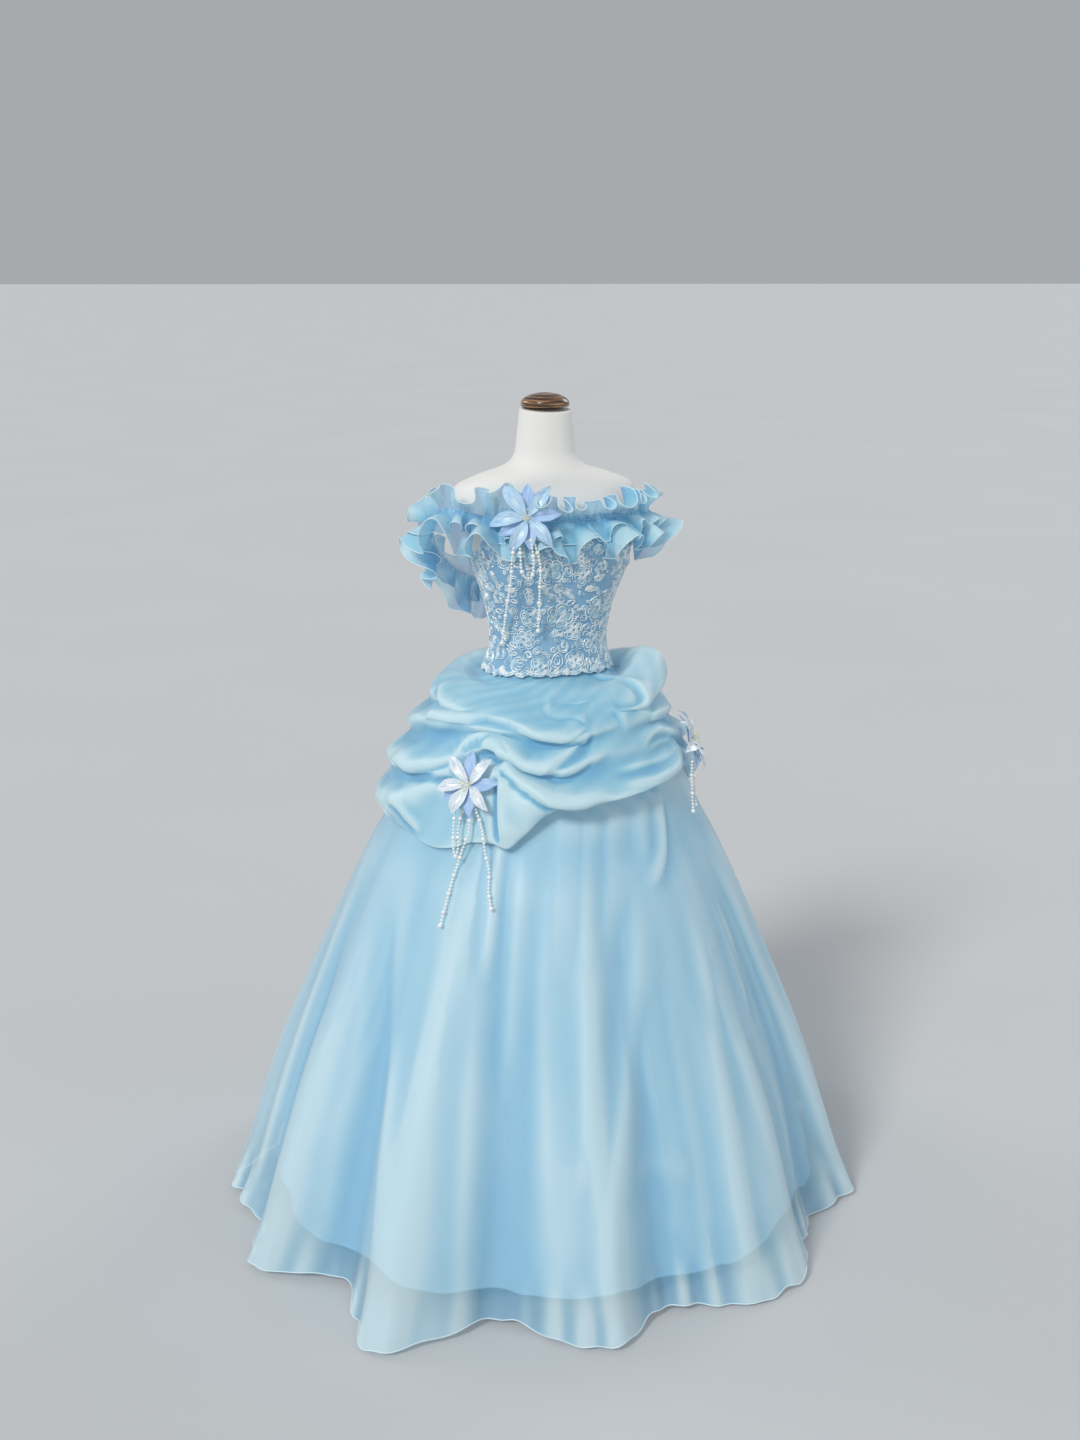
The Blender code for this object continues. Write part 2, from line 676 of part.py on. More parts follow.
# ---------------------------------------------------------------- the bodice
LACE_ROSES = (
    # turn, height, radius in millimetres, petals
    (-52.0, 1.385, 26.0, 6), (-12.0, 1.340, 24.0, 5), (28.0, 1.372, 27.0, 6),
    (58.0, 1.330, 24.0, 5), (-40.0, 1.290, 24.0, 6), (6.0, 1.270, 25.0, 6),
    (40.0, 1.262, 24.0, 5), (-62.0, 1.215, 22.0, 5), (-20.0, 1.200, 24.0, 6),
    (22.0, 1.182, 25.0, 5), (62.0, 1.205, 22.0, 6), (-44.0, 1.166, 20.0, 5),
    (0.0, 1.162, 19.0, 5), (46.0, 1.165, 20.0, 6), (80.0, 1.260, 20.0, 5),
    (-82.0, 1.270, 20.0, 5), (-78.0, 1.335, 20.0, 6), (8.0, 1.405, 20.0, 5),
    (110.0, 1.290, 22.0, 6), (140.0, 1.240, 22.0, 5), (112.0, 1.200, 20.0, 5),
    (150.0, 1.170, 20.0, 6), (-110.0, 1.290, 22.0, 6), (-140.0, 1.240, 22.0, 5),
    (-112.0, 1.200, 20.0, 5), (-150.0, 1.170, 20.0, 6),
)
LACE_RISE = 0.0024
# The lace lies flat beside the line along which the ruffles are sewn.
LACE_FADE_FROM = 0.018
LACE_FADE_OVER = 0.025


def lace_relief(turn, height):
    """Height of the raised lace above the satin: petalled roses with hollow hearts."""
    relief = np.zeros(np.broadcast(turn, height).shape)
    for at, level, size, petals in LACE_ROSES:
        near = (turn - at + 180.0) % 360.0 - 180.0
        across = np.radians(near) * 125.0
        up = (height - level) * 1000.0
        reach = np.hypot(across, up) / size
        angle = np.arctan2(up, across)
        outline = 0.78 + 0.22 * np.cos(petals * angle)
        ring = 1.0 - np.clip(np.abs(reach / outline - 0.62) / 0.42, 0.0, 1.0)
        relief = np.maximum(relief, ring)
    sewn = around(turn, column(RUFFLE_LINE, 0), column(RUFFLE_LINE, 1))
    free = smooth_step((np.abs(height - sewn) - LACE_FADE_FROM) / LACE_FADE_OVER)
    return LACE_RISE * relief * free


def bodice_bottom(turn):
    """Height of the scalloped lower edge."""
    wave = np.abs(np.sin(np.radians(turn) * SCALLOPS / 2))
    return BODICE_BOTTOM + SCALLOP_DEPTH * (1 - wave)


def waist_flare(height):
    """How far the bodice stands out over the skirt's waist."""
    above = height - BODICE_BOTTOM - WAIST_BAND
    return WAIST_FLARE * smooth_step(1 - above / (WAIST_FLARE_REACH - WAIST_BAND))


def bodice_grid(turns, rows, out, with_lace):
    """Grid of points of the bodice, top edge first; the last row is the scalloped edge."""
    top = mirrored(turns, BODICE_TOP)
    bottom = bodice_bottom(turns)
    band = BODICE_BOTTOM + WAIST_BAND
    grid = []
    for k in range(rows):
        height = top + (band - top) * k / (rows - 1)
        extra = lace_relief(turns, height) if with_lace and k > 0 else 0.0
        ease = BUST_EASE * np.exp(-((height - BUST_HEIGHT) / BUST_SPREAD) ** 2)
        grid.append(body_point(turns, height, out + waist_flare(height) + ease + extra))
    grid.append(body_point(turns, bottom, out + WAIST_FLARE))
    return np.array(grid)


def zip_row(height, half, out):
    """The two ends of a level line on the centre back, out from the bodice's inner face."""
    centre = body_point(np.array(180.0), np.array(height), FORM_CLEARANCE + waist_flare(height))
    centre = centre + (0.0, out, 0.0)
    return centre + (half, 0.0, 0.0), centre - (half, 0.0, 0.0)


def make_bodice(materials):
    """Front, two back halves, and the zip between them."""
    panels = (
        # name, first turn, last turn, columns, rows
        ("bodice_front", -90.0, 90.0, FRONT_LACE_COLUMNS, FRONT_LACE_ROWS),
        ("bodice_back_left", 90.0, 180.0, BACK_LACE_COLUMNS, BACK_LACE_ROWS),
        ("bodice_back_right", -180.0, -90.0, BACK_LACE_COLUMNS, BACK_LACE_ROWS),
    )
    for name, first, last, columns, rows in panels:
        inner_columns = round((last - first) * BASE_COLUMNS / 360.0)
        outer = bodice_grid(np.linspace(first, last, columns + 1), rows,
                            FORM_CLEARANCE + SATIN_WALL, True)
        inner = bodice_grid(np.linspace(first, last, inner_columns + 1),
                            BODICE_INNER_ROWS, FORM_CLEARANCE, False)
        outer = pull_ends(outer, SEAM_GAP / 2)
        inner = pull_ends(inner, SEAM_GAP / 2)
        for grid in (outer, inner):
            if name == "bodice_back_left":
                grid[:, -1, 0] = ZIP_HALF
            if name == "bodice_back_right":
                grid[:, 0, 0] = -ZIP_HALF
        wall(name, outer, inner, materials["lace"])

    top = BODICE_TOP[-1][1]
    slider_levels = [top - drop for drop, _ in ZIP_SLIDER]
    lower_levels = np.linspace(slider_levels[-1], bodice_bottom(np.array(180.0)), 7)
    tape = [zip_row(level, ZIP_HALF - SEAM_GAP, SATIN_WALL)
            for level in [top] + slider_levels[:-1] + list(lower_levels)]
    tape = np.array(tape)
    wall("zip_tape", tape, tape - (0.0, SATIN_WALL - 0.0004, 0.0), materials["zip"])

    out = SATIN_WALL + SEAM_GAP + ZIP_SLIDER_WALL
    slider = np.array([zip_row(top - drop, half, out) for drop, half in ZIP_SLIDER])
    wall("zip_slider", slider, slider - (0.0, ZIP_SLIDER_WALL, 0.0), materials["zip"])


# ---------------------------------------------------------------- the ruffles
def ruffle_frames():
    """Points along the sewing line, with the tangent, outward and upward directions."""
    turns = np.linspace(-180.0, 180.0, 1441)
    height = around(turns, column(RUFFLE_LINE, 0), column(RUFFLE_LINE, 1))
    stand = around(turns, column(RUFFLE_LINE, 0), column(RUFFLE_LINE, 2))
    line = body_point(turns, height, FORM_CLEARANCE + SATIN_WALL + stand)
    run = np.concatenate([[0.0], np.cumsum(np.linalg.norm(np.diff(line, axis=0), axis=1))])
    spot = (np.arange(RUFFLE_COLUMNS) + 0.5) / RUFFLE_COLUMNS * run[-1]
    place = np.stack([np.interp(spot, run, line[:, k]) for k in range(3)], axis=-1)
    turn = np.interp(spot, run, turns)
    tangent = sum(np.roll(place, -k, axis=0) - np.roll(place, k, axis=0)
                  for k in range(1, RUFFLE_BEND_COLUMNS + 1))
    tangent /= np.linalg.norm(tangent, axis=1, keepdims=True)
    outward = np.cross(tangent, (0.0, 0.0, 1.0))
    outward /= np.linalg.norm(outward, axis=1, keepdims=True)
    upward = np.cross(outward, tangent) + (0.0, 0.0, RUFFLE_HANG)
    upward /= np.linalg.norm(upward, axis=1, keepdims=True)
    return place, outward, upward, turn


def tier_grid(tier, place, outward, upward, turn, phase):
    """Grid of a ruffle tier over the columns given; it keeps clear of the bodice."""
    rows = []
    for along, stand_out, wave in tier:
        away = min(1.0, abs(along) / 40.0)
        surface_out = FORM_CLEARANCE + SATIN_WALL + (BUST_EASE + LACE_RISE) * away
        ease = RUFFLE_EASE * away
        spot = place + upward * along / 1000.0
        surface = body_point(turn, spot[:, 2], surface_out)
        deep = np.sum((surface - spot) * outward, axis=1)
        push = (deep + np.sqrt(deep ** 2 + ease ** 2)) / 2
        near = (turn - PRESSED_TURN + 180.0) % 360.0 - 180.0
        free = 1 - PRESSED_SHARE * np.exp(-(near / PRESSED_SPREAD) ** 2)
        lift = stand_out + wave * math.sqrt(2.0) * np.cos(phase)
        base = stand_out if along == 0 else stand_out * 0.5
        out = (base + (lift - base) * free) / 1000.0
        rows.append(spot + outward * (push + out)[:, None])
    return np.array(rows)


def make_ruffles(materials):
    """Upper and under tiers, each in four lengths."""
    place, outward, upward, turn = ruffle_frames()
    phase = 2 * math.pi * (np.arange(RUFFLE_COLUMNS) + 0.5) / 4
    for part, first, last in RUFFLE_PARTS:
        start = int(np.argmin(np.abs((turn - first + 180) % 360 - 180)))
        end = int(np.argmin(np.abs((turn - last + 180) % 360 - 180)))
        if end <= start:
            end += RUFFLE_COLUMNS
        pick = np.arange(start - 1, end + 2) % RUFFLE_COLUMNS
        for tier_name, tier in (("upper", UPPER_TIER), ("under", UNDER_TIER)):
            grid = tier_grid(
                tier, place[pick], outward[pick], upward[pick], turn[pick], phase[pick],
            )
            cloth_panel(
                "ruffle_" + tier_name + "_" + part, grid, ORGANZA_WALL,
                materials["ruffle"], waved=True,
            )


# ---------------------------------------------------------------- the skirt
def long_layer(name, azimuths, layer, levels, waist_out, thickness, material):
    """Front or back panel of a long layer."""
    rows = []
    for level in levels:
        lift = HEM_LIFT * max(0.0, 1 - level / 0.10)
        wave = 0.5 + 0.5 * np.cos(np.radians(azimuths * 11.0))
        rows.append(skirt_point(azimuths, level + lift * wave, layer, waist_out))
    cloth_panel(name, np.array(rows), thickness, material)


def panel_azimuths(first, last, columns):
    """Azimuths of a panel's columns, with a spare one past each end."""
    step = 360.0 / columns
    return np.arange(first - step, last + step + 0.01, step)


def make_skirt(materials):
    """Lining, long organza layer and picked-up drape, each a front and a back."""
    organza_levels = (1.144, 1.120, 1.056, 0.980, 0.900, 0.790, 0.620, 0.430, 0.220,
                      ORGANZA_HEM)
    lining_levels = (1.142, 1.120, 1.056, 0.980, 0.900, 0.620, LINING_HEM)
    for side, first, last in (("front", -90.0, 90.0), ("back", 90.0, 270.0)):
        coarse = panel_azimuths(first, last, BASE_COLUMNS)
        fine = panel_azimuths(first, last, SKIRT_COLUMNS)
        long_layer("lining_" + side, coarse, 1, lining_levels, LINING_WAIST_OUT,
                   LINING_WALL, materials["lining"])
        long_layer("skirt_" + side, fine, 2, organza_levels, ORGANZA_WAIST_OUT,
                   ORGANZA_WALL, materials["organza"])
        cloth_panel("drape_" + side, drape_grid(fine), ORGANZA_WALL, materials["organza"])


# ---------------------------------------------------------------- lilies and pearls
def petal_outline(turns):
    """Angles and reaches round a star of petals joined at the heart."""
    angles = []
    reaches = []
    for k, turn in enumerate(turns):
        before = turns[k - 1] - (360.0 if k == 0 else 0.0)
        angles += [(before + turn) / 2, turn - PETAL_SIDE_ANGLE, turn,
                   turn + PETAL_SIDE_ANGLE]
        reaches += [LILY_HEART, PETAL_SIDE_REACH, 1.0, PETAL_SIDE_REACH]
    return [math.radians(angle) for angle in angles], reaches


def lily_star(name, spot, turns, length, cup, throat, rings, material):
    """One layer of petals; spot is its centre with its out, up and across directions."""
    centre, out, up, across = spot
    angles, reaches = petal_outline(turns)
    count = len(angles)
    points = []
    for side in (1, 0):
        points.append(centre + out * (side * LILY_THICKNESS - (1 - side) * throat))
        for ring in rings:
            for angle, reach in zip(angles, reaches):
                far = length * reach * ring
                rise = cup * (far / length) ** 1.5 + side * LILY_THICKNESS
                flat = across * math.sin(angle) + up * math.cos(angle)
                points.append(centre + flat * far + out * rise)
    half = 1 + count * len(rings)
    faces = []
    for side in (0, 1):
        start = side * half
        for k in range(count):
            after = (k + 1) % count
            sheet = [(start, start + 1 + k, start + 1 + after)]
            for ring in range(len(rings) - 1):
                inner = start + 1 + ring * count
                outer = inner + count
                sheet += [(inner + k, outer + k, outer + after),
                          (inner + k, outer + after, inner + after)]
            faces += sheet if side == 0 else [face[::-1] for face in sheet]
    rim = 1 + count * (len(rings) - 1)
    for k in range(count):
        after = (k + 1) % count
        faces.append((rim + k, half + rim + k, half + rim + after))
        faces.append((rim + k, half + rim + after, rim + after))
    add_object(name, points, faces, material)


def lily_directions(azimuth, lean):
    """Facing, rising and sideways directions of a lily that leans up."""
    angle = math.radians(azimuth)
    tilt = math.radians(lean)
    out = np.array((math.sin(angle), -math.cos(angle), 0.0))
    up = np.array((0.0, 0.0, 1.0))
    across = np.array((math.cos(angle), math.sin(angle), 0.0))
    face = out * math.cos(tilt) + up * math.sin(tilt)
    rise = up * math.cos(tilt) - out * math.sin(tilt)
    return face, rise, across


def lily_spot(name, azimuth, height, stand_out):
    """Centre of a lily: off the dress form at the chest, off the drape at the hips."""
    if name == "chest":
        return body_point(np.array(azimuth), np.array(height), stand_out)
    radius = drape_radius(np.array(height)) + stand_out
    return round_point(np.array(azimuth), radius, np.array(height))


def pearl_spot(name, azimuth, height, stand_out):
    """Point of a strand: off the dress form at the chest, off the organza at the hips."""
    if name == "chest":
        return body_point(np.array(azimuth), np.array(height), stand_out)
    cloth = skirt_point(np.array(azimuth), np.array(height), 2, ORGANZA_WAIST_OUT)
    radius = np.hypot(cloth[0], cloth[1]) + stand_out
    return round_point(np.array(azimuth), radius, np.array(height))


def make_lilies(materials):
    """Front petals, and back petals whose throat reaches back to the cloth."""
    for name, azimuth, height, length, stand_out, lean, throat in LILIES:
        centre = lily_spot(name, azimuth, height, stand_out)
        face, rise, across = lily_directions(azimuth, lean)
        back = centre - face * (LILY_THICKNESS + SEAM_GAP)
        lily_star("lily_" + name, (centre, face, rise, across), FRONT_PETALS, length,
                  0.012, 0.0, (0.5, 1.0), materials["lily"])
        lily_star("lily_" + name + "_back", (back, face, rise, across),
                  BACK_PETALS, length * 0.94, 0.002, throat, (0.3, 1.0),
                  materials["lily_back"])


def strand_path(name, root, marks):
    """Points down a strand, a pearl's half pitch apart."""
    spots = np.array([root] + [pearl_spot(name, *mark) for mark in marks])
    run = np.concatenate([[0.0], np.cumsum(np.linalg.norm(np.diff(spots, axis=0), axis=1))])
    count = max(2, 2 * round(run[-1] / PEARL_PITCH / 2) + 1)
    steps = np.linspace(0.0, run[-1], count + 1)[1:]
    return np.stack([curve(steps, run, spots[:, k]) for k in range(3)], axis=-1)


def make_pearls(materials):
    """Strands of pearls below each lily, fused at their roots to a narrow backing."""
    for name, azimuth, height, _, stand_out, lean, _ in LILIES:
        centre = lily_spot(name, azimuth, height, stand_out)
        face, rise, across = lily_directions(azimuth, lean)
        bar = centre - rise * BACKING_DROP - face * BACKING_BEHIND
        strands = [(root, marks) for lily, root, marks in PEARL_STRANDS if lily == name]
        points = []
        faces = []
        for root, _ in strands:
            for side in (-THREAD_HALF, THREAD_HALF):
                corner = bar + across * (root + side)
                for depth, up in ((-1, 0), (1, 0), (1, 1), (-1, 1)):
                    points.append(corner + face * depth * THREAD_HALF
                                  + rise * up * BACKING_HEIGHT)
        cuts = len(points) // 4
        faces.append((0, 1, 2, 3))
        end = 4 * (cuts - 1)
        faces.append((end + 3, end + 2, end + 1, end))
        for cut in range(cuts - 1):
            a = 4 * cut
            b = a + 4
            faces += [(a + 1, b + 1, b + 2, a + 2), (a + 2, b + 2, b + 3, a + 3),
                      (a + 3, b + 3, b, a)]
            if cut % 2 == 1:
                faces.append((a, b, b + 1, a + 1))
        for order, (root, marks) in enumerate(strands):
            a = 8 * order
            ring = [a, a + 4, a + 5, a + 1]
            for step, spot in enumerate(strand_path(name, bar + across * root, marks)):
                half = PEARL_HALF if step % 2 == 0 and step > 3 else THREAD_HALF
                start = len(points)
                for side, depth in ((-1, -1), (1, -1), (1, 1), (-1, 1)):
                    points.append(spot + across * side * half + face * depth * half)
                fresh = [start, start + 1, start + 2, start + 3]
                for k in range(4):
                    after = (k + 1) % 4
                    faces.append((ring[k], ring[after], fresh[after], fresh[k]))
                ring = fresh
            faces.append(tuple(ring))
        add_object("pearls_" + name, points, faces, materials["pearl"], smooth=False)


# ---------------------------------------------------------------- build
def make_materials():
    """All materials of the gown and its form."""
    return {
        "form": finish("form_linen", (0.86, 0.84, 0.80), 0.75),
        "wood": finish("dark_wood", (0.10, 0.04, 0.02), 0.35),
        "metal": finish("stand_metal", (0.16, 0.16, 0.17), 0.40, 0.9),
        "lace": finish("lace_over_satin", (0.42, 0.58, 0.78), 0.45),
        "zip": finish("zip_tape_blue", (0.36, 0.53, 0.74), 0.60),
        "ruffle": finish("ruffle_organza", (0.40, 0.64, 0.86), 0.45),
        "organza": finish("skirt_organza", (0.48, 0.72, 0.86), 0.45),
        "lining": finish("lining_satin", (0.45, 0.68, 0.84), 0.35),
        "lily": finish("lily_silver_blue", (0.66, 0.76, 0.88), 0.40),
        "lily_back": finish("lily_periwinkle", (0.28, 0.40, 0.78), 0.50),
        "pearl": finish("pearl_cream", (0.85, 0.84, 0.76), 0.25),
    }


def build():
    """Clear the scene and make every piece."""
    for thing in list(bpy.data.objects):
        bpy.data.objects.remove(thing, do_unlink=True)
    materials = make_materials()
    make_form(materials)
    make_bodice(materials)
    make_ruffles(materials)
    make_skirt(materials)
    make_lilies(materials)
    make_pearls(materials)


build()
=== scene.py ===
"""Looks of the off-shoulder ball gown on its dress form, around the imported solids.

Metres, +Z up, the gown's front faces -Y. Angles called "turn" or "azimuth" are in degrees
about +Z: 0 is the front, + is toward +X. Cloth is a thin shell on its solid's own form.
"""
import math

import bpy
import numpy as np
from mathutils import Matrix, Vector


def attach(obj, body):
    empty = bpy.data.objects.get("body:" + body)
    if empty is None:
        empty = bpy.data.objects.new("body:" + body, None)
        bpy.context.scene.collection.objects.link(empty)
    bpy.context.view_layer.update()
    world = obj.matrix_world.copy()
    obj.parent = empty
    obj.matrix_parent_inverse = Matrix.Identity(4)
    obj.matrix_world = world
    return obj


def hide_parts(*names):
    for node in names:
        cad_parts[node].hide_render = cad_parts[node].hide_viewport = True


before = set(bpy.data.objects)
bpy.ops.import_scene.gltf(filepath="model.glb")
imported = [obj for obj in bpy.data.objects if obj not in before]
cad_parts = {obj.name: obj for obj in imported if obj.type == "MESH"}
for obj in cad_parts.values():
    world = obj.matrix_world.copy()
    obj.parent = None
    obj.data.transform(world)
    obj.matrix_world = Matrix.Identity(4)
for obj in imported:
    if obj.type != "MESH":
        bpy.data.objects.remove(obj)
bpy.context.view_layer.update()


# ---------------------------------------------------------------- sizes of the solids
def columns(units, *rows):
    """Columns of a table, each divided by its unit: 1000 makes metres of millimetres."""
    return (np.array(rows, float) / units).T


DEGREES_MM = (1, 1000)
DEGREES_MM_MM = (1, 1000, 1000)

NEARLY_UP = (0.02, 0.03, 1.0)
SHARP_EDGE = math.radians(50)
SATIN_WALL = 0.0022
SATIN_FACE = 0.0034 + SATIN_WALL    # the satin's outside, from the dress form
NECK_TOP = 1.655
NECK_BASE = 1.600
NECK_SLANT = 0.004
FORM_RIM = ((1.6550, -0.0040), (1.6549, -0.0015), (1.6538, -0.0003), (1.6520, 0.0))
FORM_BOTTOM = 0.875
ROUND_POWER = 0.87
BUST_X = 0.080
BUST_HEIGHT = 1.385
BUST_SPREAD = 0.046
BUST_DEPTH = 0.014
BUST_EASE = 0.0014
TORSO = columns(
    1000,   # height, half_width, front, back, lead
    (875, 90, 70, 70, 0), (890, 138, 98, 98, 0), (930, 160, 110, 116, 0),
    (1000, 168, 114, 120, 2), (1070, 155, 108, 108, 6), (1120, 134, 102, 88, 12),
    (1165, 117, 100, 73, 17), (1205, 112, 100, 68, 18), (1250, 118, 106, 71, 22),
    (1300, 132, 116, 76, 28), (1340, 146, 124, 80, 32), (1380, 156, 127, 84, 32),
    (1420, 168, 117, 86, 22), (1455, 184, 103, 86, 6), (1485, 192, 92, 85, -6),
    (1508, 182, 84, 84, -10), (1528, 136, 80, 80, -8), (1545, 82, 73, 71, -4),
    (1558, 66, 66, 61, 0), (1572, 59.5, 61, 56, 1), (1600, 56, 57, 53, 2),
    (1655, 50.5, 51, 47, 2))
# Turned pieces: radius and height in millimetres, from the bottom to the top.
CAP = ((44, 1659.5), (46.6, 1659.8), (47.8, 1660.7), (48.1, 1662.1), (48.1, 1667.9),
       (47.6, 1669.7), (46.3, 1671.7), (44.3, 1673.9), (41, 1676.6), (36.8, 1679.2),
       (31.8, 1681.5), (26.2, 1683.4), (20, 1684.9), (13.6, 1686), (7.2, 1686.7), (2, 1687))
POLE = ((15.8, 22), (16.5, 24), (26, 25), (27, 28), (26, 44), (16.5, 48), (16, 50),
        (16, 874.7))
FOOT = ((184, 0), (188, 0.6), (190, 3), (190, 9.8), (188.5, 11.8), (180, 13.8), (120, 17.8),
        (45, 21.4), (30, 21.9))

BODICE_TOP = columns(
    DEGREES_MM,     # turn, height
    (0, 1456), (25, 1458), (50, 1452), (72, 1398), (90, 1376), (112, 1348), (145, 1316),
    (180, 1308))
BODICE_BOTTOM = 1.138
SCALLOPS = 24
SCALLOP_DEPTH = 0.006
WAIST_FLARE = 0.0034
WAIST_FLARE_REACH = 0.040
WAIST_BAND = 0.014
ZIP_TURN = 180.0
ZIP_TOP = 1.308
ZIP_TOOTH = (0.0012, 0.0005, 0.00045)
ZIP_TOOTH_STEP = 0.0013
# Half the pull's width, from its top to its end.
ZIP_PULL = (0.0011, 0.0013, 0.0012, 0.0013, 0.0017, 0.0021, 0.0021, 0.0012)
ZIP_PULL_HALF = 0.0004

RUFFLE_LINE = columns(
    DEGREES_MM_MM,  # turn, height, stand_off
    (-180, 1298, 2.5), (-146, 1302, 16), (-126, 1335, 52), (-110, 1388, 62), (-92, 1448, 48),
    (-74, 1474, 28), (-52, 1462, 6), (-28, 1450, 0), (0, 1448, 0), (28, 1450, 0),
    (52, 1456, 4), (72, 1458, 15), (90, 1441, 23), (110, 1412, 24), (128, 1368, 18),
    (148, 1320, 7))
RUFFLE_COLUMNS = 1224
TANGENT_REACH = 72
RUFFLE_HANG = 1.0
# The chest lily presses the frills flat: where, how wide and how much.
PRESSED_TURN = -22.0
PRESSED_SPREAD = 16.0
PRESSED_SHARE = 0.45
# Fewer and bigger waves on the gown's right sleeve: from, over and how many fewer.
FEWER_FROM, FEWER_OVER, FEWER_WAVES = -135.0, 65.0, 2.0
# One tall lobe of the upper frill beside the lily: where, how wide and how much taller.
LOBE_TURN, LOBE_SPREAD, LOBE_SHARE = -35.0, 13.0, 0.76
# How much the waves' strength and phase wander, and the weakest and strongest wave.
STRENGTH_WANDER, PHASE_WANDER, WEAKEST, STRONGEST = 0.40, 1.5, 0.45, 1.5
EDGE_CLEAR = 0.0038     # how far off the satin a frill's edge stays
UPPER_TOP = dict(waves=27, lean=32.0, swing=50.0, hang=0.15, curl=7.5, uneven=0.26)
UPPER_LOW = dict(waves=23, lean=42.0, swing=100.0, hang=0.72, curl=7.5, uneven=0.22)
UNDER_LOW = dict(waves=17, lean=36.0, swing=92.0, hang=0.66, curl=10.0, uneven=0.18)

SKIRT_PROFILE = columns(
    1000,   # height, radius of the lining, radius of the organza
    (0, 586, 652), (100, 562, 616), (200, 537, 588), (300, 510, 558), (400, 480, 522),
    (520, 440, 473), (640, 398, 424), (755, 350, 372), (840, 308, 326), (890, 284, 302),
    (940, 258, 276), (990, 228, 244), (1040, 196, 210), (1090, 160, 172), (1146, 122, 130))
LINING, ORGANZA = 1, 2      # columns of the profile
LAYER_TOP = {LINING: 1.142, ORGANZA: 1.144}
LAYER_HEM = {LINING: 0.046, ORGANZA: 0.008}
WAIST_OUT = {LINING: 0.0019, ORGANZA: 0.0035}
FLUTE_SHARE = {LINING: 0.30, ORGANZA: 1.0}
HEM_WAVES = 11
HEM_LIFT = 0.010
HEM_LIFT_REACH = 0.10
HEM_CURL_REACH = 0.13
OVAL_START = 1.124
OVAL_END = 0.960
FLUTE_START = 0.930
FLUTE_POWER = 1.25
MEAN_HEM_RADIUS = 0.652
HEM_FLUTES = columns(
    DEGREES_MM,     # azimuth, hem radius: crest, hollow, crest and so on
    (-102, 684), (-87, 642), (-75, 716), (-60, 611), (-44, 757), (-28, 604), (-10, 691),
    (3, 607), (18, 672), (28, 688), (36, 634), (47, 598), (60, 668), (74, 612), (89, 686),
    (105, 616), (121, 692), (138, 610), (155, 704), (172, 618), (189, 690), (206, 612),
    (222, 700), (240, 622))

DRAPE_TOP = 1.146
DRAPE_WAIST_ROWS = ((DRAPE_TOP, 0.0051), (1.1348, 0.0054))      # height, out
DRAPE_PUFF_ROWS = (
    # radius, height, lift_share, oval_share, oval_out
    (0.160, 1.1260, 0.00, 0.85, 0.0260), (0.186, 1.111, 0.85, 0.40, 0.0410),
    (0.214, 1.095, 1.00, 0.12, 0.0570), (0.236, 1.078, 0.60, 0.00, 0.0770),
)
DRAPE_LOWER = columns(
    1000,   # height, radius
    (830, 342), (880, 330), (920, 318), (960, 300), (1000, 278), (1036, 256), (1066, 240),
    (1092, 226))
PUFFS = columns(
    DEGREES_MM_MM,  # azimuth, lift, stand_out
    (-150, 39, 6), (-108, 23, -6), (-60, 10, -8), (-20, 0, -10), (20, 16, 6), (44, 32, 10),
    (74, 69, 26), (100, 49, 12), (130, 31, 4), (170, 43, 10))
MAIN_FOLDS = (
    # azimuth, height, rise of each of the three folds that go all round
    columns(DEGREES_MM_MM,
            (-180, 1046, 14), (-150, 1030, 18), (-118, 1020, 20), (-104, 1036, 22),
            (-81, 1058, 20), (-58, 1064, 14), (-39, 1062, 10), (-22, 1052, 10),
            (-9, 1048, 11), (1, 1056, 10), (9, 1062, 4), (25, 1062, 3), (46, 1066, 12),
            (70, 1052, 12), (95, 1040, 18), (120, 1030, 20), (150, 1040, 16)),
    columns(DEGREES_MM_MM,
            (-180, 985, 14), (-150, 965, 18), (-120, 955, 22), (-104, 962, 24),
            (-88, 966, 18), (-74, 980, 12), (-60, 1004, 12), (-46, 1030, 18),
            (-34, 1018, 16), (-26, 1002, 14), (-14, 998, 14), (-2, 1012, 10), (8, 1018, 2),
            (26, 1016, 0), (48, 1018, 4), (62, 1016, 2), (80, 992, 14), (100, 974, 22),
            (125, 965, 20), (150, 975, 18)),
    columns(DEGREES_MM_MM,
            (-180, 925, 16), (-150, 890, 20), (-120, 880, 22), (-104, 878, 22),
            (-90, 886, 20), (-76, 915, 12), (-62, 950, 0), (-52, 975, -10), (-43, 988, 12),
            (-36, 984, 20), (-29, 966, 24), (-20, 950, 26), (-8, 945, 26), (8, 948, 22),
            (24, 956, 20), (42, 966, 12), (57, 985, -8), (70, 955, 10), (88, 905, 18),
            (112, 885, 22), (140, 888, 20), (163, 910, 18)),
)
HOLLOW_SHARE = 0.42
HOLLOW_DEPTH = 0.005
HOLLOW_MOST = 0.15      # at most this share of the gap between two folds
FULL_FOLD = 0.012
DRAPE_EDGE = columns(
    DEGREES_MM_MM,  # azimuth, height, step
    (-135, 850, 10), (-112, 835, 9), (-92, 838, 7), (-76, 845, 7), (-62, 835, 8),
    (-52, 845, 10), (-45, 860, 12), (-38, 864, 16), (-32.5, 856, 20), (-27, 878, 24),
    (-19, 914, 30), (-8, 926, 32), (10, 934, 33), (36, 944, 32), (57, 956, 26),
    (70, 922, 18), (88, 866, 10), (112, 842, 10), (140, 850, 12), (163, 884, 14),
    (180, 900, 14), (198, 880, 12))
EDGE_TUCK = 0.0045
DRAPE_COLUMNS, DRAPE_LEVELS, DRAPE_RIPPLE = 720, 132, 0.0007
